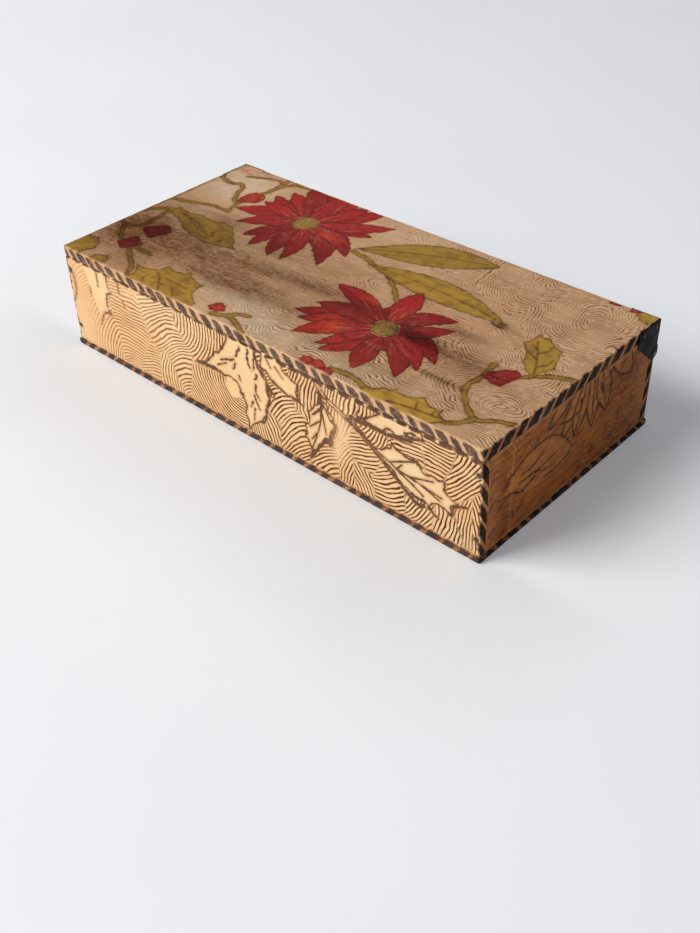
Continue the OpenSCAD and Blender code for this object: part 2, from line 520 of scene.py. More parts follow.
    def smudge(self, target: Array, *spots: tuple[float, float, float, float, float]) -> Array:
        """Adds soft spots to a field.

        A spot is a Gaussian: strength times e to the power of minus the squared distance in half lengths.

        Args:
            target: the field.
            spots: each as its middle, its two half lengths and its strength.

        Returns:
            The field with the spots.
        """
        for x, y, wide, high, much in spots:
            target = target + much * np.exp(-(((self.u - x) / wide) ** 2) - ((self.v - y) / high) ** 2)
        return target

    def shade_over_base(self, much: float, reach: float, seed: int) -> None:
        """Browns a strip of about this height over the base board: painted shade of the gap above the base.
        """
        height = self.v - BASE_T + 0.4 * wobble(self.u, self.v, 5, seed)
        self.toast = np.maximum(self.toast, much * (1 - smooth(0.2, reach, height)))

    def attributes(self) -> dict[str, Array]:
        """Gathers the fields in threes.

        Returns:
            The threes, by the names that BurnedWood reads.
        """
        return {
            "stain": np.stack([self.paint[Paint.RED], self.paint[Paint.GREEN], self.paint[Paint.GOLD]], -1),
            "burn": np.stack([self.ink, self.dabs, self.toast], -1),
            "ground": np.stack([self.rings, self.clear, self.depth], -1),
            "brush": np.stack([self.streak, self.along, self.tone], -1),
            "wear": np.stack([self.grime, self.fade, self.rubbed_and_lit], -1),
        }


@dataclass(frozen=True)
class Rope:
    """Slanting dabs burned along one edge of a board, like the strands of a rope.

    Attributes:
        pitch: from one dab to the next.
        start: where one dab's middle lies along the edge.
        width: of a dab, along the edge.
        slant: how far a dab leans over the thickness of the board.
        top: where a dab starts, as a share of the thickness from the drawn face.
        foot: where it ends.
        notch: how deep it is burned away at the far arris.
        toast: how much of the heat's brown is left between the dabs, from 0 to 1.
        char: how black the dabs are and how deep the brown between them is, from 0 to 1.
        seam: how high a black seam stands at the far arris, in millimetres: a painted shadow of the gap
            beside the next board.
        spill: how far the dabs run out over the drawn face, in millimetres.
        stray: how unevenly the dabs are set, as a share of the pitch.
    """

    pitch: float = 8.4
    start: float = 0.0
    width: float = 4.6
    slant: float = 3.2
    top: float = -0.1
    foot: float = 1.1
    notch: float = 0.5
    toast: float = 0.4
    char: float = 1.0
    seam: float = 0.0
    spill: float = 0.7
    stray: float = 0.09

    def offset(self, run: Array, depth: Array) -> tuple[Array, Array]:
        """Finds the nearest dab to points on the edge.

        Args:
            run: where the points lie along the edge.
            depth: how far down the board's thickness they are, from 0 to 1.

        Returns:
            Distance from the dab's slanting middle line, and the dab's half width. Sines of its number vary
            both.
        """
        place = (run - self.start - self.slant * (depth - 0.5)) / self.pitch
        number = np.round(place)
        strays = self.stray * np.sin(number * 7.1 + self.start)
        half = self.width / 2 * (1 + 2.4 * self.stray * np.sin(number * 3.7 + self.start))
        return np.abs(place - number - strays) * self.pitch, half

    def dab(self, run: Array, depth: Array, thick: float) -> Array:
        """Measures the way to the nearest dab. Its offsets add up in the third power, for round corners.

        Args:
            run: where the points lie along the edge.
            depth: how far down the board's thickness they are, from 0 to 1.
            thick: the thickness.

        Returns:
            The signed distance.
        """
        offset, half = self.offset(run, depth)
        middle, reach = (self.top + self.foot) / 2, (self.foot - self.top) / 2
        size = ((offset / half) ** 3 + (np.abs(depth - middle) / reach) ** 3) ** (1 / 3)
        return (size - 1) * np.minimum(half, reach * thick)

    def burned_away(self, run: Array, depth: Array) -> Array:
        """How deep the wood is gone: a parabola over the dab's width, deeper towards the far arris.

        Args:
            run: where the points lie along the edge.
            depth: how far down the board's thickness they are, from 0 to 1.

        Returns:
            The depth in millimetres.
        """
        offset, half = self.offset(run, depth)
        deepest = 0.15 * self.notch + self.notch * smooth(0.35, 1.0, depth)
        return np.clip(1 - (offset / half) ** 2, 0, 1) * deepest


class Graph:
    """The shader tree of a material or a world, under construction."""

    def __init__(self, owner: bpy.types.Material | bpy.types.World) -> None:
        """Empties a tree.

        Args:
            owner: whose tree it is.
        """
        owner.use_nodes = True
        self.owner, self.tree = owner, owner.node_tree
        self.tree.nodes.clear()

    def add(
        self, kind: str, *inputs: object, out: int | str | None = 0, **settings: object
    ) -> Socket | list[Socket]:
        """Adds one node.

        Args:
            kind: its type, without the leading ShaderNode.
            inputs: sockets to link, plain values or hex colours for its inputs in order, or one mapping from
                input names to such values.
            out: which output to hand back, or None for all of them.
            settings: its properties.

        Returns:
            The chosen output, or the list of outputs.
        """
        node = self.tree.nodes.new("ShaderNode" + kind)
        for key, value in settings.items():
            setattr(node, key, value)
        named = inputs[0].items() if inputs and isinstance(inputs[0], dict) else enumerate(inputs)
        for place, value in named:
            if isinstance(value, Socket):
                self.tree.links.new(value, node.inputs[place])
            else:
                node.inputs[place].default_value = linear(value) if isinstance(value, str) else value
        return list(node.outputs) if out is None or not node.outputs else node.outputs[out]

    def math(self, operation: str, *values: object, **settings: object) -> Socket:
        """Adds a sum with single values."""
        return self.add("Math", *values, operation=operation, **settings)

    def times(self, *values: object) -> Socket:
        """Multiplies single values, from left to right."""
        return reduce(partial(self.math, "MULTIPLY"), values)

    def ramp(self, value: Socket, *ends: object, **settings: object) -> Socket:
        """Maps a value from its first two ends to 0 and 1, or to the last two, and holds it there."""
        return self.add("MapRange", value, *ends, **settings)

    def soft(self, value: Socket, *ends: object) -> Socket:
        """A ramp that starts and stops softly."""
        return self.ramp(value, *ends, interpolation_type="SMOOTHSTEP")

    def mix(self, share: object, first: object, second: object, **settings: object) -> Socket:
        """Mixes two colours by the second one's share."""
        return self.add("MixRGB", share, first, second, **settings)

    def stretch(self, place: Socket, by: object) -> Socket:
        """Multiplies the parts of a position."""
        return self.add("VectorMath", place, by, operation="MULTIPLY")

    def noise(self, place: Socket, scale: float, detail: float = 2.0, **more: float) -> Socket:
        """Adds a noise of a position, with its detail, and in more its Roughness or Distortion."""
        return self.add("TexNoise", {"Vector": place, "Scale": scale, "Detail": detail, **more})

    def millimetres(self) -> Socket:
        """Adds a position in the object's own frame, in millimetres."""
        return self.stretch(self.add("TexCoord", out="Object"), (1000, 1000, 1000))

    def finish(self, shader: Socket, output: str = "OutputMaterial") -> bpy.types.Material | bpy.types.World:
        """Links the shader to the output and hands back the owner."""
        self.add(output, shader)
        return self.owner

    def surface(self, height: Socket, strength: float, inputs: dict[str, object]) -> bpy.types.Material:
        """Finishes with a surface of these inputs, raised by a height in millimetres."""
        bump = self.add("Bump", {"Strength": strength, "Distance": MM, "Height": height})
        return self.finish(self.add("BsdfPrincipled", {**inputs, "Normal": bump}))


class WoodGraph(Graph):
    """A board's tree, with what its layers read: the drawing's fields, and noises of real sizes.

    Attributes:
        stain, burn, ground, brush, wear: the three parts of each of the drawing's attributes.
        mm: the position.
        grain: the position in streak lengths and widths.
        fibres: short streaks along the grain.
        bands: broad streaks along it.
        patches: places of some 40 mm.
        rests: places of some 6 mm.
        dashes: places of some 3 mm.
        jitter: places of some 2 mm.
        colour: the colour of all layers so far.
    """

    def __init__(self, name: str, fibre: Spot) -> None:
        """Starts a material.

        Args:
            name: its name.
            fibre: the size of a streak along X, Y and Z, in millimetres.
        """
        super().__init__(bpy.data.materials.new(name))
        self.stain, self.burn, self.ground, self.brush, self.wear = (
            self.add("SeparateXYZ", self.add("Attribute", out="Vector", attribute_name=part), out=None)
            for part in ("stain", "burn", "ground", "brush", "wear")
        )
        self.mm = self.millimetres()
        self.grain = self.stretch(self.mm, [1 / size for size in fibre])
        self.fibres = self.noise(self.grain, 1.0, 4.0, Roughness=0.65)
        self.bands = self.noise(self.grain, 0.13)
        self.patches = self.noise(self.mm, 1 / 38)
        self.rests = self.noise(self.mm, 1 / 6.5)
        self.dashes = self.noise(self.mm, 1 / 3.2, 1.5)
        self.jitter = self.noise(self.mm, 1 / 2.2)

    def lay(self, share: object, tint: object, **settings: object) -> None:
        """Lays a tint over the colour by its share."""
        self.colour = self.mix(share, self.colour, tint, **settings)


@dataclass(frozen=True)
class BurnedWood:
    """Old basswood, burned with a hot point, partly stained, and waxed.

    It shows pale close fibres with hardly any figure, brown grooves with a soft scorched rim, charred
    outlines of uneven width, thin stains that let the fibres show and have worn off in flecks, and a dull
    satin surface.

    Attributes:
        name: the material's name.
        light: the palest wood.
        usual: most of the wood.
        dark: its darker streaks.
        faded: wood that has lost its colour.
        fibre: the size of a streak along X, Y and Z, in millimetres.
        spacing: from one burned line to the next, in millimetres.
        line: half the width of a burned line, in millimetres.
        line_shade: the burned lines.
        scorch: the rim of a line and of an outline.
        char: the outlines.
        ash: the middle of the broadest strokes, where the point moved slowly.
        ink: half the width of an outline, in millimetres.
        bold: half its width where the point rested, in millimetres.
        outlined: how black the outlines are, from 0 to 1.
        fading: how much weaker they are where the lines are faint, from 0 to 1.
        figure: how strong the broad streaks of the wood are, from 0 to 1.
        halo: how strong the scorched rim of a line is, from 0 to 1.
        broken: how much the lines break into dashes, from 0 to 1.
        flecks: how strong the fibres are, from 0 to 1.
        specks: how strong the brown specks are, from 0 to 1.
        dab: the blackest dabs along the edges.
        dab_light: the palest ones.
        toasted: the wood between the blackest dabs.
        toasted_light: the wood between the palest ones.
        grime: what the handling multiplies the wood by.
        roughness: of the bare wood.
    """

    name: str
    light: str
    usual: str
    dark: str
    faded: str = "#efcf9f"
    fibre: Spot = (9.0, 0.35, 0.35)
    spacing: float = 1.8
    line: float = 0.26
    line_shade: str = "#6b4026"
    scorch: str = "#b98652"
    char: str = "#3d2218"
    ash: str = "#8b6a5a"
    ink: float = 0.3
    bold: float = 0.8
    outlined: float = 0.9
    fading: float = 0.0
    figure: float = 0.3
    halo: float = 0.5
    broken: float = 0.0
    flecks: float = 0.4
    specks: float = 0.0
    dab: str = "#120a06"
    dab_light: str = "#6b4c3a"
    toasted: str = "#b06a30"
    toasted_light: str = "#e2ab76"
    grime: str = "#8a7156"
    roughness: float = 0.6

    def wood(self, g: WoodGraph) -> None:
        """Lays bare wood: pale patches, dark bands, dark and pale fibres, faded places and brown specks.

        The inside, where the fade passes 1, is even, with fine dark threads along the grain.

        Args:
            g: the graph.
        """
        fade = g.wear[1]
        g.colour = g.mix(g.soft(g.patches, 0.35, 0.65), self.usual, self.light)
        g.lay(g.ramp(g.bands, 0.45, 0.75, 0.0, self.figure), self.dark)
        g.lay(g.ramp(g.fibres, 0.5, 0.75, 0.0, self.flecks), self.dark)
        g.lay(g.ramp(g.fibres, 0.3, 0.46, 0.8 * self.flecks, 0.0), self.faded)
        worn = g.times(fade, g.ramp(g.rests, 0.35, 0.6, 0.5, 1.0))
        g.lay(worn, self.faded)
        threads = g.ramp(g.fibres, 0.45, 0.75, 0.0, 0.1 + 0.25 * self.flecks)
        g.lay(g.times(threads, g.ramp(fade, 0.9, 1.3)), self.dark)
        cells = g.add("TexVoronoi", {"Vector": g.mm, "Scale": 1 / 8.5})
        speck = g.times(g.ramp(cells, 0.05, 0.11, self.specks, 0.0), g.math("SUBTRACT", 1.0, worn))
        g.lay(speck, "#6e3a22")

    def lines(self, g: WoodGraph) -> Socket:
        """Lays the burned lines: the hand wavers a little, presses unevenly and lifts at times.

        Args:
            g: the graph.

        Returns:
            The lines' mask.
        """
        rings, clear, depth = g.ground
        gap = g.math("PINGPONG", g.math("MULTIPLY_ADD", g.jitter, 0.3, rings), self.spacing / 2)
        press = g.ramp(g.rests, 0.3, 0.7, 0.6 * self.line, 1.35 * self.line)
        press = g.times(press, g.ramp(depth, 0.2, 1.0, 0.7, 1.15))
        line = g.soft(gap, g.math("SUBTRACT", press, 0.12), g.math("ADD", press, 0.16), 1.0, 0.0)
        rare, often = 0.22 + 0.26 * self.broken, 0.34 + 0.24 * self.broken
        lift = g.soft(g.dashes, rare, often, 0.35 * (1 - self.broken), 1.0)
        free = g.soft(clear, 0.25, 0.7)
        rim = g.times(g.soft(gap, 0.0, 0.85, self.halo, 0.0), lift)
        rim = g.times(rim, g.times(free, g.math("POWER", depth, 0.5)))
        g.lay(rim, self.scorch)
        line = g.times(line, lift, g.times(free, depth))
        g.lay(line, self.line_shade)
        return line

    def stains(self, g: WoodGraph) -> Socket:
        """Lays the stains: brushed along each shape, thin in places, worn to the wood in hairs near a heart.

        Args:
            g: the graph.

        Returns:
            The stains' mask.
        """
        across, along, tone = g.brush
        brushed = g.add("CombineXYZ", across, along, tone)
        strokes = g.noise(g.stretch(brushed, (9.0, 1.6, 7.0)), 1.0, 3.0, Distortion=0.4)
        hairs = g.noise(g.stretch(brushed, (18.0, 4.0, 11.0)), 1.0, 4.0, Distortion=0.8)
        shade = g.ramp(g.math("ADD", strokes, g.math("MULTIPLY_ADD", tone, 0.5, 0.25)), 0.75, 1.3)
        worn = g.times(g.soft(hairs, 0.575, 0.65, 0.0, 0.75), g.ramp(along, 0.2, 0.75, 1.0, 0.06))
        red = g.mix(g.wear[1], g.mix(shade, "#85131b", "#bd1c28"), "#dc431c")
        red = g.mix(g.ramp(g.dashes, 0.5, 0.68, 0.0, 0.55), red, "#6a1014")
        red = g.mix(worn, red, "#d8a78c")
        blots = g.soft(g.rests, 0.46, 0.64, 0.0, 0.6)
        green = g.mix(blots, g.mix(shade, "#9b772f", "#cc9f3d"), "#866429")
        gold = g.mix(g.ramp(hairs, 0.35, 0.65), "#6a501f", "#bf944e")
        spread = g.math("MULTIPLY_ADD", g.jitter, 0.5, -0.25)
        thin = g.ramp(g.fibres, 0.5, 0.85, 1.0, 0.8)
        stained = 0.0
        for edge, tint in zip(g.stain, (red, green, gold)):
            laid = g.times(g.soft(g.math("ADD", edge, spread), -0.15, 0.3, 0.97, 0.0), thin)
            g.lay(laid, tint)
            stained = g.math("MAXIMUM", laid, stained)
        return stained

    def outlines(self, g: WoodGraph, stained: Socket) -> Socket:
        """Lays the outlines: a fine charred line that swells where the point rested, in a wider brown scorch.

        Args:
            g: the graph.
            stained: the stains' mask, since a stain softens them.

        Returns:
            The outlines' mask.
        """
        ink, depth = g.burn[0], g.ground[2]
        rested = g.soft(g.rests, 0.55, 0.72, self.ink, self.bold)
        ragged = g.math("SUBTRACT", g.math("MULTIPLY_ADD", g.jitter, 0.5, ink), 0.25)
        burned = g.ramp(ragged, rested, g.math("ADD", rested, 0.25), 1.0, 0.0)
        g.lay(g.times(g.soft(ink, 0.2, 2.2, 0.5, 0.0), g.math("SUBTRACT", 1.0, stained)), self.scorch)
        g.lay(g.times(g.soft(ragged, 0.1, 1.5, 0.5, 0.0), stained), "#ab8a7e", blend_type="MULTIPLY")
        strength = g.ramp(stained, 0.0, 1.0, self.outlined, 0.75 * self.outlined)
        outline = g.times(burned, strength, g.ramp(depth, 0.2, 0.9, 1 - self.fading, 1.0))
        g.lay(outline, g.mix(g.ramp(ragged, -0.9, -0.1, 0.75, 0.0), self.char, self.ash))
        return outline

    def dirt(self, g: WoodGraph) -> None:
        """Lays handling: smoky, grainy dirt in streaks along the grain, and arrises paler, partly rubbed and
        partly a painted highlight.

        Args:
            g: the graph.
        """
        grime, _, rubbed_and_lit = g.wear
        smears = g.noise(g.stretch(g.grain, (0.5, 0.06, 0.06)), 1.0, 6.0, Roughness=0.7)
        streaks, grains = g.ramp(g.fibres, 0.3, 0.65, 0.7, 1.25), g.ramp(g.jitter, 0.3, 0.7, 0.8, 1.2)
        smears = g.times(g.ramp(smears, 0.34, 0.66, 0.68, 1.0), streaks, grains)
        g.lay(g.math("MULTIPLY", grime, smears, use_clamp=True), self.grime, blend_type="MULTIPLY")
        # Paler arrises: rubbed wear and a painted highlight.
        g.lay(g.times(rubbed_and_lit, g.ramp(g.rests, 0.4, 0.6)), self.light)

    def edges(self, g: WoodGraph) -> Socket:
        """Lays toasted edges and painted shade at joints, and dabs that are black in the middle and brown
        where the iron was cooler.

        Args:
            g: the graph.

        Returns:
            The dabs' mask.
        """
        (_, dabs, toast), hot = g.burn, g.brush[2]
        heat = g.times(toast, g.ramp(g.patches, 0.3, 0.7, 0.6, 1.0))
        g.lay(heat, g.mix(hot, self.toasted_light, self.toasted))
        g.lay(g.soft(dabs, 0.0, 0.8, 0.5, 0.0), self.toasted)
        rough = g.math("MULTIPLY_ADD", g.jitter, 1.6, dabs)
        dab = g.soft(rough, 0.45, g.ramp(hot, 0.0, 1.0, 1.7, 1.15), 1.0, 0.0)
        ash = g.math("MULTIPLY_ADD", g.ramp(g.fibres, 0.42, 0.72), 0.6, hot, use_clamp=True)
        ash = g.math("SUBTRACT", ash, g.ramp(g.rests, 0.35, 0.65, 0.0, 0.35), use_clamp=True)
        g.lay(dab, g.mix(ash, self.dab_light, self.dab))
        return dab

    def build(self) -> bpy.types.Material:
        """Builds the material: wood, then lines, stains, outlines, dirt and edges, each over the one before.

        Returns:
            The material, which reads the point attributes of Drawing.
        """
        g = WoodGraph(self.name, self.fibre)
        self.wood(g)
        line = self.lines(g)
        stained = self.stains(g)
        outline = self.outlines(g, stained)
        self.dirt(g)
        dab = self.edges(g)
        height = g.times(g.fibres, 0.05)
        for mask, depth in ((line, 0.12), (outline, 0.16), (dab, 0.2)):
            height = g.math("MULTIPLY_ADD", mask, -depth, height)
        gloss = g.ramp(g.patches, 0.3, 0.7, self.roughness - 0.06, self.roughness + 0.08)
        for mask, change in ((stained, -0.08), (dab, 0.15)):
            gloss = g.math("MULTIPLY_ADD", mask, change, gloss)
        inputs = {"Base Color": g.colour, "Roughness": gloss, "IOR": 1.45, "Specular IOR Level": 0.2}
        return g.surface(height, 0.8, inputs)


@dataclass(frozen=True)
class AgedMetal:
    """Thin tinplate or iron that has lost its shine.

    Tin goes to a dull grey with darker patches and fine scratches, and iron wire heads to a dark brown with
    rust at the rim. Both keep a broad soft gleam.

    Attributes:
        name: the material's name.
        bright: where it is rubbed.
        usual: most of it.
        stained: its patches.
        metallic: how much of it is clean metal.
        roughness: of the usual surface.
        patch: the size of a patch, in millimetres.
    """

    name: str
    bright: str
    usual: str
    stained: str
    metallic: float = 0.85
    roughness: float = 0.45
    patch: float = 5.0

    def build(self) -> bpy.types.Material:
        """Builds the material from patches, scratches and pits.

        Returns:
            The material.
        """
        g = Graph(bpy.data.materials.new(self.name))
        mm = g.millimetres()
        patches = g.noise(mm, 1 / self.patch, 4.0, Roughness=0.65)
        pits = g.noise(mm, 2.2, 3.0)
        scratches = g.noise(g.stretch(mm, (0.25, 0.25, 4.0)), 1.0, 3.0, Distortion=0.6)
        colour = g.mix(g.soft(patches, 0.42, 0.66), self.usual, self.stained)
        colour = g.mix(g.soft(scratches, 0.58, 0.72, 0.0, 0.7), colour, self.bright)
        gloss = g.ramp(patches, 0.3, 0.7, self.roughness - 0.08, self.roughness + 0.14)
        height = g.math("MULTIPLY_ADD", pits, 0.04, g.times(patches, 0.12))
        return g.surface(height, 0.7, {"Base Color": colour, "Metallic": self.metallic, "Roughness": gloss})


def quads(index: Array) -> Array:
    """The faces of a grid of point numbers whose rows follow each other upwards, seen from outside."""
    return np.stack([index[:-1, :-1], index[:-1, 1:], index[1:, 1:], index[1:, :-1]], -1).reshape(-1, 4)


def hoops(rings: Array) -> Array:
    """The faces between closed rings of point numbers, one ring in each row."""
    ahead = np.roll(rings, -1, 1)
    return np.stack([rings[:-1], rings[1:], ahead[1:], ahead[:-1]], -1).reshape(-1, 4)


def put(name: str, points: Array, faces: list[list[int]], finish: bpy.types.Material) -> bpy.types.Object:
    """Puts a piece into the scene.

    Args:
        name: its name.
        points: its points in the model's frame, in millimetres.
        faces: its faces as point numbers, turning left round their outside.
        finish: its material.

    Returns:
        The piece, smooth but for edges sharper than 40 degrees.
    """
    mesh = bpy.data.meshes.new(name)
    mesh.from_pydata((points * MM).tolist(), [], faces)
    mesh.materials.append(finish)
    mesh.polygons.foreach_set("use_smooth", np.ones(len(faces), bool))
    mesh.set_sharp_from_angle(angle=math.radians(40))
    piece = bpy.data.objects.new(name, mesh)
    bpy.context.scene.collection.objects.link(piece)
    return piece


def join(piece: bpy.types.Object, body: str, node: str) -> None:
    """Gives a piece its body, hides the CAD node that it stands for, and reports it.

    Args:
        piece: the piece.
        body: the body that it rides on.
        node: the CAD node that it stands for.
    """
    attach(piece, body)
    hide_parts(node)
    LOG.info("%s: %d points on %s, for %s", piece.name, len(piece.data.vertices), body, node)


@dataclass
class Board:
    """A worn board with a drawn face, a plain face and rounded arrises.

    Attributes:
        node: the CAD node that it stands for.
        side: where its drawn face looks.
        finish: its material.
        body: the body that it rides on.
        slot: its material slot; not used.
        cell: the spacing of the points on its drawn face.
        arris: the radius of its arrises.
        corner: the radius of its corners.
        row: the spacing of the rows of points on its edges.
        dent: how deep a nail head has pressed it in.
        ropes: the dabs along its low, high, start and end edges.
        nails: the places on its drawn face where nail heads have pressed it in.
        seed: picks its unevenness.
    """

    node: str
    side: Side
    finish: BurnedWood
    body: str = "box"
    slot: str = "wall_wood"
    cell: float = 0.7
    arris: float = 0.55
    corner: float = 1.1
    row: float = 0.55
    dent: float = 0.3
    ropes: dict[str, Rope] = field(default_factory=dict)
    nails: list[Point] = field(default_factory=list)
    seed: int = 1

    def decorate(self, d: Drawing) -> None:
        """Draws on the face. A plain board has only dirt and faded places on it.

        Args:
            d: the drawing.
        """
        d.depth = np.zeros(d.u.shape)
        d.grime = 0.28 + 0.25 * wobble(d.u, d.v, 40, self.seed + 20)
        d.grime = d.grime + 0.2 * wobble(d.u, d.v, 9, self.seed + 21)
        d.fade = 0.4 + 0.3 * wobble(d.u, d.v, 60, self.seed + 22)

    def size(self) -> tuple[Point, Point, Point]:
        """Takes the board's size from the CAD node's box.

        Returns:
            Its reach along, up and out, in millimetres.
        """
        lo, hi = (np.array(corner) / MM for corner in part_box(self.node))
        ways = np.array(self.side.value, float)
        ends = np.stack([ways @ lo, ways @ hi])
        return tuple((float(a), float(b)) for a, b in zip(ends.min(0), ends.max(0)))

    def build(self) -> bpy.types.Object:
        """Builds the board.

        The drawn face is a grid. Rings of points go from its rim round the first arris, a quarter circle,
        down the edge in even rows and round the second arris. Two rings, shrunk towards the middle, then lead
        to the one face that closes the plain side, which keeps its natural colour.

        Returns:
            The piece, riding on its body.
        """
        (u0, u1), (v0, v1), (w0, w1) = self.size()
        thick, r = w1 - w0, self.arris
        nu, nv = (max(4, round((b - a) / self.cell)) for a, b in ((u0, u1), (v0, v1)))
        uu, vv = np.meshgrid(np.linspace(u0 + r, u1 - r, nu), np.linspace(v0 + r, v1 - r, nv))
        index = np.arange(nu * nv).reshape(nv, nu)
        rim = np.concatenate([index[0, :-1], index[:-1, -1], index[-1, :0:-1], index[:0:-1, 0]])
        ru, rv = uu.ravel()[rim], vv.ravel()[rim]
        nx, ny = ((ring == ring.max()) * 1.0 - (ring == ring.min()) * 1.0 for ring in (ru, rv))
        quarter = np.radians([25.0, 50.0, 72.0, 90.0])
        rows = np.linspace(r, thick - r, max(4, round(thick / self.row)))[1:]
        out = np.concatenate([r * np.sin(quarter), np.full(len(rows), r), r * np.cos(quarter)])
        down = np.concatenate([r * (1 - np.cos(quarter)), rows, thick - r + r * np.sin(quarter)])
        shrink = np.array([[1.2], [3.0]])
        middles = ((ru, (u0 + u1) / 2), (rv, (v0 + v1) / 2))
        inner_u, inner_v = (c + (ring - c) * (1 - shrink / (ring.max() - c)) for ring, c in middles)
        u = np.concatenate([uu.ravel(), (ru + nx * out[:, None]).ravel(), inner_u.ravel()])
        v = np.concatenate([vv.ravel(), (rv + ny * out[:, None]).ravel(), inner_v.ravel()])
        drop = np.concatenate([np.zeros(nu * nv), np.repeat([*down, thick, thick], len(rim))])

        d = Drawing(u, v)
        self.decorate(d)
        # The drawing ends just over the arris, and a fade over 1 stands for the plain side.
        below = np.maximum(drop - 0.35, 0) * 3
        for kind in Paint:
            d.paint[kind] = d.paint[kind] + below
        d.ink = d.ink + 2 * below
        d.depth = d.depth * (1 - smooth(0.25, 0.6, drop))
        outer = 1 - smooth(0.5, 1.0, drop / thick)
        d.grime, d.toast, d.fade = d.grime * outer, d.toast * outer, d.fade * outer + 1.5 * (1 - outer)
        u, v, drop = self.wear_down(d, drop, (u0, u1), (v0, v1), thick)
        d.dabs[-len(rim) :] = FAR
        d.grime = np.where(drop > thick / 2, 0.0, d.grime)

        points = self.side.to_model(u, v, w1 - drop)
        rings = np.vstack([rim, nu * nv + np.arange((len(out) + 2) * len(rim)).reshape(-1, len(rim))])
        faces = np.vstack([quads(index), hoops(rings)]).tolist() + [rings[-1, ::-1].tolist()]
        piece = put(self.node + ".wood", points, faces, self.finish.build())
        for name, values in d.attributes().items():
            layer = piece.data.attributes.new(name, "FLOAT_VECTOR", "POINT")
            layer.data.foreach_set("vector", values.astype(np.float32).ravel())
        join(piece, self.body, self.node)
        return piece

    def wear_down(
        self, d: Drawing, drop: Array, su: Point, sv: Point, thick: float
    ) -> tuple[Array, Array, Array]:
        """Burns the dabs into the edges and wears the board, always inwards.

        A dab's notch moves edge points in by the rope's depth there. The face sinks by a wobble of a tenth of
        a millimetre and by a bell-shaped dent at each nail. Corners turn from square to round by scaling the
        offset in the corner's square by its longer part over its length.

        Args:
            d: the drawing, which gets the dabs, the toasted edges and the paler arrises, partly rubbed and
                partly a painted highlight.
            drop: its points' depth below the face.
            su: the board's reach along.
            sv: the board's reach across.
            thick: its thickness.

        Returns:
            The worn positions along, across and below.
        """
        u, v = d.u, d.v
        insets = {"low": v - sv[0], "high": sv[1] - v, "start": u - su[0], "end": su[1] - u}
        edge_gap = np.minimum.reduce(list(insets.values()))
        moved = {name: np.zeros(u.shape) for name in insets}
        for name, inset in insets.items():
            run = u if name in ("low", "high") else v
            bruise = 0.22 * np.clip(wobble(run, drop + self.seed, 9.0, self.seed + 7), 0, 2) ** 2
            from_arris = smooth(0.3, 1.6, np.minimum(drop, thick - drop))
            moved[name] += np.minimum(bruise, 0.5) * (inset < 0.05) * (1 - from_arris)
            rope = self.ropes.get(name)
            if rope:
                depth = (drop - inset) / thick
                spill = rope.spill * (1 + 0.7 * wobble(run, drop, 2.6, self.seed + 11))
                dab = np.maximum(rope.dab(run, np.maximum(depth, 0), thick), inset - spill - 0.2)
                # A black seam along the far arris: painted shadow of the gap beside the next board.
                seam = (1 - depth) * thick - rope.seam * (1 + 0.6 * wobble(run, drop, 5.0, self.seed + 12))
                d.dabs = np.minimum(d.dabs, np.minimum(dab, seam if rope.seam else FAR))
                # On an edge the tone is the heat, and not a shade of stain.
                side = (1 - smooth(0.3, 1.3, inset)) * smooth(-0.1, 0.4, drop)
                d.toast = np.maximum(d.toast, rope.toast * side)
                d.tone = np.where(side > 0.1, rope.char, d.tone)
                moved[name] += rope.burned_away(run, depth) * (inset < self.arris) * smooth(0.0, 0.5, drop)
        near_arris = 1 - smooth(0.2, 1.4, edge_gap)
        unburned = 1 - 0.8 * d.toast * d.tone
        # The arrises turn paler: partly rubbed wear, partly a painted highlight where the rounded edge
        # catches light.
        d.rubbed_and_lit = np.maximum(d.rubbed_and_lit, near_arris * (1 - smooth(0.5, 1.2, drop)) * unburned)
        sunk = 0.05 + 0.05 * wobble(u, v, 60.0, self.seed)
        for place in self.nails:
            reach = np.hypot(u - place[0], v - place[1])
            sunk = sunk + self.dent * np.exp(-((reach / 1.9) ** 4))
            d.grime = d.grime + 0.7 * np.exp(-((reach / 2.3) ** 4))
            d.depth = d.depth * smooth(1.2, 2.0, reach)
        sunk = sunk + 0.12 * np.clip(wobble(u, v, 14.0, self.seed + 3), 0, 2) * near_arris
        sunk = np.clip(sunk, 0, 1) * (1 - smooth(0.0, thick / 2, drop))
        drop = np.where(drop < thick / 2, drop + sunk, drop)

        u = u + moved["start"] - moved["end"]
        v = v + moved["low"] - moved["high"]
        size = self.corner
        cu, cv = (su[0] + su[1]) / 2, (sv[0] + sv[1]) / 2
        a = np.abs(u - cu) - ((su[1] - su[0]) / 2 - size)
        b = np.abs(v - cv) - ((sv[1] - sv[0]) / 2 - size)
        corner = (a > 0) & (b > 0)
        pull = np.where(corner, np.maximum(a, b) / np.hypot(a, b).clip(1e-6), 1.0)
        u = np.where(corner, u - np.sign(u - cu) * a * (1 - pull), u)
        v = np.where(corner, v - np.sign(v - cv) * b * (1 - pull), v)
        return u, v, drop


GREEN, RED, BARE = Paint.GREEN, Paint.RED, Paint.BARE


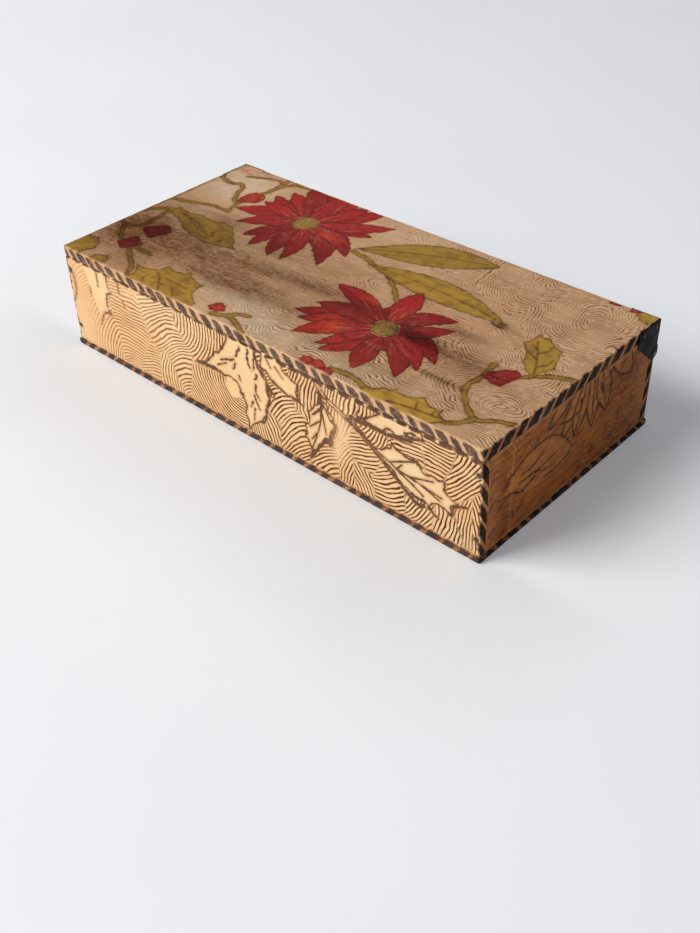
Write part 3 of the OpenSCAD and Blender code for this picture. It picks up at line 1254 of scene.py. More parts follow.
class Lid(Board):
    """The lid: two red star flowers among olive leaves and berries, on fine rings, greyed by handling."""

    def decorate(self, d: Drawing) -> None:
        """Draws the lid, from the stems up to the flowers.

        Args:
            d: the drawing.
        """
        d.stems(
            GREEN, 1.7,
            [
                (-107, 74), (-106.5, 66), (-105, 57), (-106, 48), (-108, 40), (-109, 30), (-107, 22),
                (-105, 17),
            ],
            [(-150, 8), (-140, 9.5), (-128, 13.5), (-118, 17), (-105, 17)],
            [
                (-150, 55), (-144, 49), (-139, 46), (-132, 45), (-126, 47.5), (-122, 44), (-118, 36),
                (-113, 29),
            ],
            [(-84, 70), (-100, 66), (-105, 57)], [(-16, 27), (-6, 25), (4, 22), (14, 19), (26, 11), (38, 0)],
            [(150, -1), (136, -5), (128, -12), (120, -20)],
            [(109, -14), (111, -26), (110, -36), (116, -45), (128, -54), (138, -49), (150, -45)],
            [(128, -54), (124, -62), (112, -67)], [(54, -65), (66, -64), (78, -67), (92, -70)],
            [(-27, -67), (-20, -64), (-16, -59), (-10, -57)], [(-19, -63), (-10, -66), (-2, -70)],
            [(-114, -49), (-105, -55.5), (-98, -60.5), (-92, -68), (-89, -76)],
            [(-114, -45), (-106, -46), (-99, -46.5)], [(-136, -2), (-142, -8), (-150, -18)],
            [(-133, -4), (-131, -15), (-131, -26), (-139, -31), (-150, -27)],
            [(-139, -31), (-134, -38), (-127, -44)], [(-147, 74), (-146, 40), (-146, 0), (-147, -40)],
        )
        u, v = d.u, d.v
        d.blades(
            GREEN,
            dict(base=(-17, 30), tip=(56, 62), width=11.5, bend=3, belly=0.55, taper=0.85, ribs=0),
            dict(base=(0, 21), tip=(93, 17), width=9.6, bend=3.6, ribs=0),
            dict(base=(136, 78), tip=(148, 60), width=7),
            dict(base=(-114, 74), tip=(-72, 72), width=6),
        )
        d.stems(GREEN, 1, [(-131, 58), (-126, 60), (-119, 63), (-112, 65), (-107, 63)])
        far = [
            (-68, -13), (-75, -6.5), (-81, -1), (-88, 5), (-96, 6), (-104, 3), (-113, 4.5), (-122, 2),
            (-130, 3), (-139, -2), (-127, -6), (-118, -9), (-110, -13.5), (-100, -17), (-88, -18), (-78, -16),
        ]
        veins = [[(-124, -1), (-108, -4), (-98, -8), (-90, -12)], [(-115, -3), (-109, -9)]]
        d.lay(d.spiny(far, 0.05, veins), GREEN, 0.4, faint=0.08)
        right = [
            (129, -14), (133, 0), (130, 8), (127, 15), (117, 20), (110, 20.5), (108, 10), (113, 5), (117, -4),
            (122, -9),
        ]
        veins = [
            [(129, -12), (124, -2), (119, 6), (113, 15)], [(125, -4), (128, 1), (128, 6)],
            [(122, 1), (117, 4), (113, 5)], [(119, 6), (122, 11), (121, 15)], [(117, 9), (113, 11)],
        ]
        d.lay(d.spiny(right, 0.1, veins), GREEN)
        foot = [
            (114, -76), (123, -62), (114, -61), (116, -56), (107, -59), (102, -54), (98, -58), (92, -60),
            (88, -58.5), (82, -61), (75, -67), (72, -76),
        ]
        veins = [[(120, -63), (104, -65), (90, -68)], [(104, -65), (101, -60)], [(112, -64), (112, -60)]]
        d.lay(d.spiny(foot, 0.14, veins), GREEN, 0.8, faint=0.1)
        left = [
            (-38, -76), (-41, -65), (-49, -60), (-51, -50.5), (-60, -49), (-66, -46), (-70, -49),
            (-81, -48.5), (-84, -56), (-97, -57.5), (-90, -66), (-96, -76),
        ]
        veins = [
            [(-80, -57), (-75, -60), (-70, -65), (-65, -70)], [(-63, -62), (-58, -66), (-54, -70)],
            [(-72, -58), (-55, -58.5)], [(-83, -64), (-79, -70)],
        ]
        d.lay(d.spiny(left, 0.1, veins), GREEN, 0.75, faint=0.1)
        corner = [(-150, -76), (-132, -70), (-129, -61), (-131.5, -55), (-138, -51), (-150, -52)]
        d.lay(d.spiny(corner, 0.08), GREEN, 0.45, faint=0.12)
        low = [(-111, -76), (-112, -65), (-116, -61), (-123, -65), (-127, -76)]
        d.lay(d.spiny(low, 0.06), GREEN, 0.4)
        upper = [(-112.5, -22), (-118, -18.5), (-122.5, -23), (-126, -27), (-122, -29.5), (-116, -31.5)]
        lower = [(-114, -42), (-121.5, -38.5), (-123, -42), (-124.5, -46.5), (-118.5, -49.5)]
        for corners in (upper, lower):
            berry = d.spiny(corners, 0)
            berry.edge = berry.edge - 1.8
            d.lay(berry, RED, 0.35, faint=0.3)
        d.berries(
            RED, (-29, -61, 4.6, 0.85), (117, -22, 6.2, 0.95), (40, -67.5, 4.2, 0.8), (46, -67, 4.6, 0.8),
            (53, -68.5, 3.6, 0.8), (122, 69, 3.2, 0.7), (133, 69, 2.6, 0.9),
        )
        d.blades(
            RED,
            dict(base=(-103, 45), tip=(-112, 29), width=6.5, belly=0.36),
            dict(base=(113, -22), tip=(124, -14), width=4.5, belly=0.6, taper=0.6),
        )
        left = [
            (-88, 76, 8, 1), (-76, 80, 8, 1), (-64, 80, 8, -1), (-53, 76, 7, 1), (-43, 71, 6.5, 1),
            (-30, 73, 7.5, 2), (-14, 58, 7, 2), (-19, 45, 6, 0), (-13, 25, 7, -5), (-17, 8, 8.5, -5),
            (-39, -4, 6.5, -1.5), (-52, -7, 6.5, 2), (-68, -4, 6, 1), (-78, 2, 6, 0), (-94, 14, 7.5, 2),
            (-107, 26, 8.5, 2), (-98, 40, 6, 0), (-99, 49, 7, -1), (-92, 60, 7.5, 1),
        ]
        d.flower((-59.6, 34.4), left, 4, RED)
        d.heart((-59.6, 34.4), 7.4, 0.3)
        right = [
            (2, -2, 7.6, 2), (42, 15.5, 8.4, 0), (69, 8, 7.5, -4), (78, -4, 6.5, 1), (89, -25, 7.5, -5),
            (87, -37, 6.5, -3.5), (83, -49, 7.5, -2.5), (60, -59, 7.6, 0), (40, -58, 7.4, -2),
            (32, -54, 5, 0), (14, -51.5, 8.4, 1.5), (8, -40.5, 6.5, 1), (1, -34, 7, 2), (6, -22, 7.5, 2),
        ]
        d.flower((49.6, -22.4), right, 9, RED)
        d.heart((49.6, -22.4), 6.9, 0.6)
        hills = [
            (130, -39, 0, 1.9), (101, -10, 3, 1.9), (121, 50, 2, 0.65), (2, 50, 0, 0.55), (44, -122, -56, 3),
            (160, 6, 4, 0.6), (80, -2, 6, 1.5), (-40, -60, 4, 2.4), (-8, -8, 6, 0.6), (-90, -28, 6, 2.4),
            (88, 74, 9, 0.6), (150, 84, 2), (-130, 20, 8), (20, 10, 8, 1.6), (146, -76, 2, 1.4), (-60, 90),
        ]
        d.ripple([Ripple(*hill) for hill in hills], 24, 2, 5, 0.35)
        bare = smooth(1.6, 0.6, ((u + 128) / 26) ** 2 + ((v - 44) / 26) ** 2)
        d.depth = d.depth * (0.32 + 0.64 * smooth(-50, 85, u)) * (0.85 + 0.3 * wobble(u, v, 24, 31))
        d.depth = d.depth * (1 - bare)
        d.depth = d.depth + 0.35 * smooth(-30, 0, u) * smooth(-36, -48, v) * (1 - smooth(60, 100, u))
        pink = 0.16 + 0.5 * np.maximum(((u + 133) / 15) ** 2 + ((v - 66) / 7) ** 2 - 1, 0)
        d.paint[RED] = np.minimum(d.paint[RED], pink)
        d.scorch(
            ([(-128, 68), (-125, 69)], 0.9), ([(-112, -5), (-104, -8), (-96, -9)], 0.35),
            ([(-92, -7), (-89, -10)], 0.7), ([(-82, -11), (-80, -13)], 0.5), ([(-46, 69), (-42, 70)], 0.7),
            ([(86, 15), (90, 13.5), (94, 14)], 0.8), ([(-73, -63), (-68, -64)], 0.5),
        )
        d.grime = d.smudge(
            d.grime, (-70, -26, 66, 20, 0.78), (-98, 9, 20, 6, 0.5), (-66, -62, 26, 10, 0.22),
            (-45, -44, 30, 7, 0.4), (-108, -60, 16, 9, 0.3), (110, -38, 30, 12, 0.15), (-14, -17, 40, 5, 0.5),
            (-20, -37, 40, 8, 0.4), (-118, -34, 34, 30, 0.6), (-138, -30, 24, 34, 0.3),
            (97, -40, 14, 2.5, 0.6), (20, -12, 34, 5, 0.5), (66, -19, 16, 5, 1), (92, -22, 30, 9, 0.75),
            (-40, 4, 50, 14, 0.5), (84, -2, 14, 4, 0.7), (-140, 0, 22, 60, 0.25), (92, 15, 5, 3, 0.9),
            (40, -40, 90, 1.8, 0.25), (60, -52, 60, 5, 0.3),
        )
        d.fade = d.smudge(
            d.fade, (27, -38, 8, 6, 0.95), (-2, -60, 20, 8, 0.5), (-40, 31, 11, 3, 0.7),
            (30, -6, 10, 2.2, 0.7), (47, -12, 5, 5, 0.3), (-128, 46, 24, 22, 0.75), (-24, -50, 26, 6, 0.8),
            (34, -60, 60, 9, 0.6), (-118, 14, 14, 10, 0.3), (30, 62, 80, 10, 0.25),
        )
        d.fade = np.clip(d.fade, 0, 1)


class FrontPanel(Board):
    """The front: hand burned leaves hanging from the top edge, over bold rings that meet in creases."""

    def decorate(self, d: Drawing) -> None:
        """Draws the front.

        Args:
            d: the drawing.
        """
        u, v = d.u, d.v
        far = [
            (-109, 60), (-134, 60), (-127, 40), (-121.5, 22), (-114, 30), (-110, 32), (-112, 42), (-108, 46),
        ]
        d.lay(d.spiny(far, 0.1), BARE, 0.2, outlined=False)
        d.lay(d.spot((-11, 28), 7, 1), BARE, 0.3, outlined=False)
        d.stems(BARE, 0.8, [(4, 56), (7, 49), (11, 44), (14.5, 38), (17, 34)])
        broad = [
            (7, 62), (-13, 62), (-18, 48), (-25, 42), (-39, 30.5), (-18, 31), (-10, 31.5), (-6.5, 24.5),
            (-3.5, 21), (-4.5, 13.5), (-2.5, 4.5), (7, 13), (11, 19), (12.5, 25), (14.5, 30), (13, 41),
            (7, 48),
        ]
        d.lay(d.spiny(broad, 0.1), BARE, 0.4)
        upper = [
            (24, 62), (9, 62), (9.5, 48), (17, 43.5), (21, 41.5), (27, 38.5), (31, 39.5), (37.5, 37.5),
            (34, 42), (35.5, 48.5), (29, 50.5), (24.5, 53),
        ]
        d.lay(d.spiny(upper, 0.1), BARE)
        hanging = [
            (50, 50), (45.5, 41), (41, 36), (42, 31.5), (39, 27), (38.5, 19.5), (41, 17.5), (41.5, 8),
            (47, 15), (50.5, 21), (56, 23), (57, 31), (60, 35), (58, 39), (54, 45),
        ]
        veins = [
            [(50.5, 49), (50, 36), (47, 25), (41.5, 11)], [(50, 41), (44, 35)], [(48.5, 33), (42, 27)],
            [(46.5, 25), (43, 20)], [(51.5, 45), (56, 37)], [(51, 38), (53, 27)],
        ]
        d.lay(d.spiny(hanging, 0.14, veins), BARE, 0.6)
        topmost = [
            (110, 62), (92, 62), (84, 53), (74, 47.5), (84, 45.5), (90, 46), (91, 49.5), (97, 47.5),
            (106, 49), (102, 51.5), (113, 52.5),
        ]
        d.lay(d.spiny(topmost, 0.1), BARE, 0.4)
        spread = [
            (82, 35), (90, 29), (98, 24), (100, 21.5), (107, 18), (112, 18.5), (117, 16.5), (119, 20),
            (127, 20), (130, 18.5), (129.5, 24), (138, 27.5), (127, 29), (125, 36), (118, 35.5), (112.5, 35),
            (110, 40), (101, 39.5), (94.5, 42), (91, 38),
        ]
        veins = [
            [(84, 34), (93, 31), (98, 29), (110, 27.5), (124, 25.5)], [(93, 31), (107, 38)],
            [(97, 28.5), (100.5, 33)], [(106, 28.5), (119, 32.5)], [(99, 28), (106, 25), (113, 21.5)],
            [(112, 27), (123, 23.5)],
        ]
        d.lay(d.spiny(spread, 0.14, veins), BARE)
        d.stems(BARE, 1, [(42, 62), (52, 50), (60, 46), (68, 43), (74, 40.5), (80, 36), (90, 29), (99, 22)])
        d.scorch(
            ([(-145, 47), (-141.5, 46.5), (-141, 38), (-143.5, 30)], 0.8),
            ([(-110, 58), (-110, 50), (-108, 46)], 0.35),
            ([(-108, 46), (-112, 43), (-113, 36), (-110, 32)], 0.4),
            ([(-110.5, 32), (-116, 31), (-119.5, 27), (-121.5, 22)], 0.5), ([(-127, 43), (-127, 38)], 0.35),
            ([(-118.5, 56), (-119, 46)], 0.25), ([(-100, 56), (-100, 49)], 0.35),
            ([(-98, 45), (-96.5, 41)], 0.25), ([(-38, 31), (-28, 32), (-19, 31.5)], 0.8),
            ([(-5, 53), (-8, 47)], 0.5), ([(-10, 44), (-20, 40)], 0.45), ([(-9, 42), (-11, 38)], 0.3),
            ([(-16, 39.5), (-23, 35.5)], 0.2), ([(1, 54), (0.5, 47), (2.5, 43)], 0.4),
            ([(5, 50), (4.5, 44)], 0.3), ([(6.5, 41), (5, 38.5)], 0.6), ([(5, 35), (4.8, 30), (7, 27)], 0.45),
            ([(3.5, 28), (4.5, 25), (6.5, 21)], 0.4), ([(2, 23.5), (0, 20)], 0.35),
            ([(3, 20), (1.5, 12)], 0.2), ([(-7, 35), (-6.5, 33)], 0.4), ([(-7, 25.5), (-4.5, 25)], 0.5),
            ([(13.5, 37), (14.5, 29), (12, 24), (10.5, 17), (8.5, 14.2), (6, 13.5)], 0.7),
            ([(18, 42.5), (26, 39.5), (37, 38)], 0.4), ([(34.5, 40), (35.5, 48)], 0.5),
            ([(20, 52), (25, 47.5)], 0.25), ([(14, 55), (17, 50)], 0.3),
            ([(41.5, 9), (47, 16), (51.5, 22.5)], 0.9),
            ([(53, 24), (56, 22.5), (56.5, 27), (59.5, 34.5), (57, 37)], 1.1), ([(49, 50), (52, 48)], 0.9),
            ([(70, 45), (80, 46), (91, 46), (98, 47), (106, 48.5)], 1.2),
            ([(102, 51.5), (107, 51), (113, 52.5)], 0.6),
            ([(66, 43), (74, 39.5), (82, 34), (92, 27), (100, 21)], 0.8),
            ([(100, 21.5), (105, 17.5), (111, 14.5), (114, 16)], 1), ([(107, 19), (112, 18)], 0.7),
            ([(117, 16), (119, 14.5), (122, 13)], 0.8), ([(128, 19), (132, 18)], 0.5),
            ([(130, 20), (131, 24), (137, 27.3)], 0.6), ([(109, 39), (112, 36)], 0.6),
            ([(125.5, 35), (125, 31)], 0.4),
        )
        patches = [
            ((-122, 22), -91, 3, 8), ((-92, 27), -94, -8), ((-78, 8), -60, -90), ((-68, 44), -10, -60),
            ((-64, 8), -30, 8), ((-54, 24), -10, -60), ((-36, 12), -5, 30), ((-12, 12), -5, 30),
            ((-38, 46), -82, 62), ((20, 36), 58, -15), ((30, 12), 58, -15), ((10, 8), -40, -12),
            ((43, 50), 100, 35), ((54, 8), 75, -22), ((68, 10), 110, -8), ((76, 10), 40, -8),
            ((90, 12), 70, 60), ((112, 8), 80, 32), ((128, 8), 70, 18), ((78, 28), 55, 80),
            ((63, 51), 20, 60), ((80, 41), 50, 60), ((103, 45), 107, 20), ((121, 53), 120, 75),
            ((134, 40), 95, 75), ((138, 20), 180, 10), ((146, 20), 105, 10),
        ]
        d.ripple([Ripple(*ring, seat=seat) for seat, *ring in patches], 30, 1.3, 5)
        d.depth = d.depth * np.clip(0.25 + 0.4 * smooth(-130, -108, u) + 0.4 * smooth(-90, 10, u), 0, 1)
        bare = [
            (63, 34, 5.5, 14, -0.95), (59, 20, 5, 8, -0.5), (-90, 54, 12, 6, -0.4), (-140, 20, 9, 30, -0.2),
        ]
        d.depth = np.clip(d.smudge(d.depth, *bare), 0, 1)
        d.fade = np.maximum(d.fade, 0.4 * (1 - smooth(-0.8, 0.2, d.clear)))
        under_lid = v + 0.9 * smooth(-30, 50, u)
        # Spots in step with the lid's dabs, with their depth counted in millimetres: partly scorch from the
        # dabs, partly painted shadow of the gap under the lid.
        spots = Rope(DAB_PITCH, start=40.9, width=6.2, slant=0, top=56, foot=58.6)
        d.dabs = spots.dab(u, under_lid, 1) + 0.25 * wobble(u, v, 4, 14)
        d.shade_over_base(0.75, 1.6, 12)
        # A brown strip along the top, just under the lid: painted shade.
        d.toast = np.maximum(d.toast, 0.35 * smooth(55.4, 56.3, v + 0.5 * wobble(u, v, 7, 13)))
        d.toast = d.smudge(d.toast, (-146, 30, 5, 60, 0.25), (-60, 5, 70, 5, 0.15))


class BackPanel(Board):
    """The back, in the same hand as the front: two long leaves and a spray of spiny ones."""

    def decorate(self, d: Drawing) -> None:
        """Draws the back; here the way along runs to the box's left.

        Args:
            d: the drawing.
        """
        stem = [(-150, 40), (-112, 34), (-80, 22), (-40, 26), (4, 18), (40, 28), (88, 22), (150, 34)]
        d.stems(BARE, 1.3, stem)
        d.blades(
            BARE,
            dict(base=(-96, 28), tip=(-58, 50), width=9.5, bend=2, spines=4, bite=0.4, ribs=6),
            dict(base=(-62, 23), tip=(-102, 8), width=8.5, bend=-2, spines=4, bite=0.4, ribs=6),
            dict(base=(-34, 26), tip=(14, 49), width=8.5, bend=3, ribs=0),
            dict(base=(-8, 19), tip=(38, 8), width=7.5, bend=-2, ribs=0),
            dict(base=(52, 28), tip=(86, 50), width=10, bend=2, spines=4, bite=0.42, ribs=7),
            dict(base=(78, 22), tip=(122, 8), width=9, bend=-2, spines=4, bite=0.42, ribs=6),
        )
        d.berries(BARE, (-118, 44, 4.4, 1), (-126, 38, 4, 1), (108, 40, 4.4, 1), (117, 44, 4, 1))
        d.scorch(([(-64, 44), (-60, 49)], 1), ([(82, 45), (87, 50)], 1.1), ([(116, 9), (122, 8)], 1))
        hills = [
            (-120, -14), (-76, 72, 8), (-30, -16, 2), (-20, 66, 12), (34, -22, 4), (42, 74, 10), (96, -14),
            (132, 76, 6), (-146, 60, 8), (10, 34, 20, 1.2), (150, 12, 8),
        ]
        d.ripple([Ripple(*hill) for hill in hills], 42, 1.5, 25)
        d.depth = d.depth * (0.7 + 0.15 * wobble(d.u, d.v, 40, 18))
        d.shade_over_base(0.6, 1.6, 22)


class EndPanel(Board):
    """An end: half a star flower hangs from the top edge over a long leaf, left bare, on faint rings."""

    def decorate(self, d: Drawing) -> None:
        """Draws an end, mirrored on the left one so that both flowers hang nearer the back.

        Args:
            d: the drawing.
        """
        turned = -1 if self.side is Side.LEFT else 1
        if turned < 0:
            d.u = -d.u
        u, v = d.u, d.v
        d.stray = 0.12
        leaf = [(-54, 29), (-46, 24.5), (-30, 19.5), (-12, 20), (1, 25), (-6, 34), (-20, 41.5), (-38, 41.5)]
        d.lay(d.spiny(leaf, -0.06), BARE, outlined=False)
        d.blades(
            BARE,
            dict(base=(4, 66), tip=(-22, 47), width=4, belly=0.6),
            dict(base=(8, 66), tip=(-9, 35), width=5, belly=0.6),
            dict(base=(12, 66), tip=(8, 39), width=5.5, belly=0.55),
            dict(base=(14, 68), tip=(16, 28), width=5.6, belly=0.55, ribs=0),
            dict(base=(10, 66), tip=(1, 30), width=5.6, belly=0.6, ribs=0),
            dict(base=(18, 68), tip=(28, 31), width=6, belly=0.55, ribs=0),
            dict(base=(20, 64), tip=(49, 43), width=6.5, bend=3.5, belly=0.6),
        )
        d.scorch(
            ([(-50, 36), (-42, 40.5), (-30, 43), (-18, 42), (-8, 36), (0, 26)], 0.22),
            ([(0, 26), (-4, 22.5), (-14, 20.5), (-22, 20.5)], 0.25),
            ([(-53, 27), (-46, 26), (-40, 23), (-30, 25.5)], 0.45), ([(-40, 33), (-32, 33), (-24, 36)], 0.18),
            ([(-42, 29), (-30, 28.5), (-14, 29.5)], 0.2), ([(-30, 28.5), (-22, 25), (-14, 23.5)], 0.18),
            ([(-12, 45), (-4, 43), (4, 44)], 0.3), ([(21, 50), (23, 44)], 0.5), ([(4, 50), (5, 44)], 0.4),
            ([(-64, 27), (-60, 30), (-56, 27)], 0.3), ([(-50, 13), (-46, 15), (-46, 11)], 0.3),
        )
        hills = [(62, -12), (20, -60, -46, 1, 20), (-60, 20, 0, 0.5), (60, 66, 6, 0.5), (-20, 70, 4)]
        d.ripple([Ripple(*hill) for hill in hills], 30, 1.6, 5)
        strength = 0.32 + 0.5 * smooth(10, 46, u) * (1 - smooth(12, 34, v)) + 0.2 * wobble(u, v, 16, 8)
        d.depth = d.depth * np.clip(strength, 0, 1)
        d.shade_over_base(0.8, 1.8, 12)
        # A brown strip along the top, under the lid and hinge: painted shade.
        d.toast = np.maximum(d.toast, 0.5 * smooth(54.6, 56.2, v + 0.5 * wobble(u, v, 7, 13)))
        d.toast = d.smudge(d.toast, (-62, 30, 6, 40, 0.2), (62, 30, 8, 40, 0.25))
        d.fade = np.maximum(d.smudge(d.fade, (-48, 30, 0.9, 40, 0.9)), 0.3 * (1 - smooth(-0.8, 0.2, d.clear)))
        dirt = 0.4 * np.clip(wobble(u, v, 7, 41), 0, 2) + 0.35 * np.clip(wobble(u, v, 2.6, 42), 0, 2)
        spots = [(-55, 22, 7, 26, 0.45), (42, 45, 22, 12, 0.5), (-18, 12, 16, 9, -0.5)]
        d.grime = d.smudge(d.grime + dirt * (1 - d.fade), *spots)
        d.u = turned * d.u


@dataclass
class HingePlate:
    """Tinplate folded round a back corner of the lid, whose round lower end turns on the pivot nail.

    Attributes:
        hand: -1 for the left plate and 1 for the right one.
        finish: its material.
        outer: how far its side leaf's outside is from the middle of the box.
        back: how far its back leaf's outside is behind the middle.
        sheet: its thickness.
        stand: how far it stands off the walls.
        lid_low: the height of the lid's underside.
        front: where its front edge is.
        corner: the height where its front edge turns into the slant.
        top: the height of its top edge.
        leaf_low: the height of its back leaf's lower edge.
        leaf_end: how far from the middle its back leaf ends.
        pivot: where the pivot is, as its place from front to back and its height.
        round_end: the radius of the round end.
        fold: the radius of the fold.
    """

    hand: int
    finish: AgedMetal
    outer: float = 146.7
    back: float = 70.7
    sheet: float = 0.45
    stand: float = 0.25
    lid_low: float = 56.7
    front: float = 51.0
    corner: float = 54.6
    top: float = 62.6
    leaf_low: float = 47.97
    leaf_end: float = 130.0
    pivot: Point = PIVOT
    round_end: float = 3.4
    fold: float = 0.8

    def front_edge(self, z: Array) -> Array:
        """The front edge: upright, then a line that touches the round end, then its circle.

        Args:
            z: heights.

        Returns:
            Its places there from front to back.
        """
        py, pz = self.pivot
        dy, dz = py - self.front, pz - self.corner
        reach = math.hypot(dy, dz)
        slant = math.atan2(dz, dy) - math.asin(self.round_end / reach)
        touch = pz - self.round_end * math.cos(slant)
        circle = py - np.sqrt((self.round_end**2 - (z - pz) ** 2).clip(0))
        line = self.front + (z - self.corner) / math.tan(slant)
        return np.where(z > self.corner, self.front, np.where(z > touch, line, circle))

    def back_edge(self, z: Array) -> Array:
        """The side leaf's back edge: the circle, a short slope, then where the fold starts.

        Args:
            z: heights.

        Returns:
            Its places there from front to back.
        """
        py, pz = self.pivot
        circle = py + np.sqrt((self.round_end**2 - (z - pz) ** 2).clip(0))
        slope = np.interp(z, [pz, self.leaf_low], [py + self.round_end, self.back])
        return np.where(z > self.leaf_low, self.back - self.fold, np.where(z < pz, circle, slope))

    def build(self) -> bpy.types.Object:
        """Builds the plate.

        Each row of points has one height. It runs along the side leaf from the front edge to the back edge,
        and above the back leaf's lower edge on round the fold, a quarter circle, and along the back leaf. The
        inside is the same sheet moved in by its thickness, as far as the lid where it lies on it, and a band
        of faces joins the two along every free edge.

        Returns:
            The piece, riding on the lid.
        """
        low = self.pivot[1] - self.round_end
        bottom = low + self.round_end * (1 - np.cos(np.linspace(0.12, math.pi / 2, 12)))
        heights = np.concatenate([bottom, np.linspace(self.pivot[1] + 0.4, self.leaf_low, 10)])
        heights = np.concatenate([heights, np.linspace(self.leaf_low + 0.01, self.top, 34)])
        share = np.linspace(0, 1, 34)
        front, back = self.front_edge(heights), self.back_edge(heights)
        y = front[:, None] + (back - front)[:, None] * share
        flat = np.stack([np.full(y.shape, self.outer), y, np.broadcast_to(heights[:, None], y.shape)], -1)
        turn = np.linspace(0, math.pi / 2, 8)[1:]
        run = np.linspace(self.outer - self.fold, self.leaf_end, 26)[1:]
        bend = [self.outer - self.fold * (1 - np.cos(turn)), self.back - self.fold * (1 - np.sin(turn))]
        plan = np.concatenate([np.stack(bend, -1), np.stack([run, np.full(run.shape, self.back)], -1)])
        rows, upper = len(heights), np.flatnonzero(heights > self.leaf_low)
        level = np.broadcast_to(heights[upper, None, None], (len(upper), len(plan), 1))
        bent = np.concatenate([np.broadcast_to(plan, (len(upper), *plan.shape)), level], -1)
        index = np.full((rows, share.size + len(plan)), -1)
        index[:, : share.size] = np.arange(rows * share.size).reshape(rows, -1)
        index[upper, share.size :] = rows * share.size + np.arange(level.size).reshape(len(upper), -1)
        outside = np.concatenate([flat.reshape(-1, 3), bent.reshape(-1, 3)])
        cells = quads(index)
        cells = cells[(cells >= 0).all(1)]

        x, y, z = outside.T
        on_side = smooth(self.leaf_end, self.outer - 2.5, x) * (y < self.back - 0.01)
        # The sheet has sagged, less where the lid backs it.
        sag = 0.07 * (1 + wobble(y + x, z, 11.0, 5 + self.hand)).clip(0, 1.6)
        depth = np.where(z > self.lid_low, self.sheet + self.stand, self.sheet)
        corner_x, corner_y = self.outer - self.fold, self.back - self.fold
        nx = np.where(x > corner_x + 1e-6, 1.0, 0.0) * np.clip((x - corner_x) / self.fold, 0, 1)
        ny = np.where(y > corner_y + 1e-6, 1.0, 0.0) * np.clip((y - corner_y) / self.fold, 0, 1)
        below = z <= self.leaf_low
        nx, ny = np.where(below, 1.0, nx), np.where(below, 0.0, ny)
        size = np.hypot(nx, ny).clip(1e-6)
        normal = np.stack([nx / size, ny / size, np.zeros(x.shape)], -1)
        sunk = np.where((z < self.lid_low - 1) & (on_side > 0), sag, sag * 0.4)
        inside = outside - normal * depth[:, None]
        outside = outside - normal * sunk[:, None]
        count = len(outside)
        edges = np.concatenate([cells[:, [i, (i + 1) % 4]] for i in range(4)])
        _, first, uses = np.unique(np.sort(edges, 1), axis=0, return_index=True, return_counts=True)
        free = edges[first[uses == 1]]
        rim = np.stack([free[:, 1], free[:, 0], free[:, 0] + count, free[:, 1] + count], -1)
        faces = np.vstack([cells, cells[:, ::-1] + count, rim])
        if self.hand < 0:
            faces = faces[:, ::-1]
        points = np.vstack([outside, inside]) * np.array([self.hand, 1.0, 1.0])
        name = ("left" if self.hand < 0 else "right") + "_hinge_plate"
        piece = put(name + ".tinplate", points, faces.tolist(), self.finish.build())
        join(piece, "lid", name)
        return piece


@dataclass
class Nails:
    """Wire nails with slightly domed heads.

    Attributes:
        node: the CAD node that they stand for.
        heads: the middle of each head's outside, with the direction that the nail is driven in.
        finish: their material.
        length: of a nail.
        wire: the radius of its wire.
        head: the radius of its head.
        head_t: the thickness of its head.
        body: the body that they ride on.
    """

    node: str
    heads: list[tuple[Spot, Spot]]
    finish: AgedMetal
    length: float = 18.0
    wire: float = 0.7
    head: float = 1.4
    head_t: float = 0.4
    body: str = "box"

    def build(self) -> bpy.types.Object:
        """Builds the nails as one piece.

        A nail is a profile turned round its own line: a dome that falls by four tenths of the head's
        thickness, the rim, the neck, the wire and a blunt point. A hammer has left each head a little out of
        round.

        Returns:
            The piece, riding on its body.
        """
        h, t, w = self.head, self.head_t, self.wire
        bow = np.linspace(0.25, 1, 4)
        radius = [*(h * bow * 0.94), h, h, w, w, w, 0.2 * w]
        depth = [*(0.4 * t * bow**2), 0.6 * t, t, t, t + 0.5, self.length - 2.5 * w, self.length]
        turn = np.linspace(0, 2 * math.pi, 24, endpoint=False)
        out_of_round = 1 - 0.05 * (1 + np.sin(2 * turn + 1.0)) / 2
        ring = np.stack([np.cos(turn), np.sin(turn), 0 * turn], -1) * out_of_round[:, None]
        tube = np.array(radius)[:, None, None] * ring + np.array(depth)[:, None, None] * (0, 0, 1)
        one = np.concatenate([np.zeros((1, 3)), tube.reshape(-1, 3), [(0, 0, self.length)]])
        n, rows = len(turn), len(radius)
        loops = 1 + np.arange(rows * n).reshape(rows, n)
        ahead = np.roll(loops, -1, 1)
        top = [[0, i, j] for i, j in zip(loops[0], ahead[0])]
        tip = [[len(one) - 1, j, i] for i, j in zip(loops[-1], ahead[-1])]
        place, way = (np.array(part, float) for part in zip(*self.heads))
        a = np.roll(way, 1, -1)
        axes = np.stack([a, np.cross(a, way), way], 1)
        points = (place[:, None] + one @ axes).reshape(-1, 3)
        shape = hoops(loops).tolist() + top + tip
        faces = [[int(p) + k * len(one) for p in face] for k in range(len(self.heads)) for face in shape]
        piece = put(self.node + ".wire", points, faces, self.finish.build())
        join(piece, self.body, self.node)
        return piece


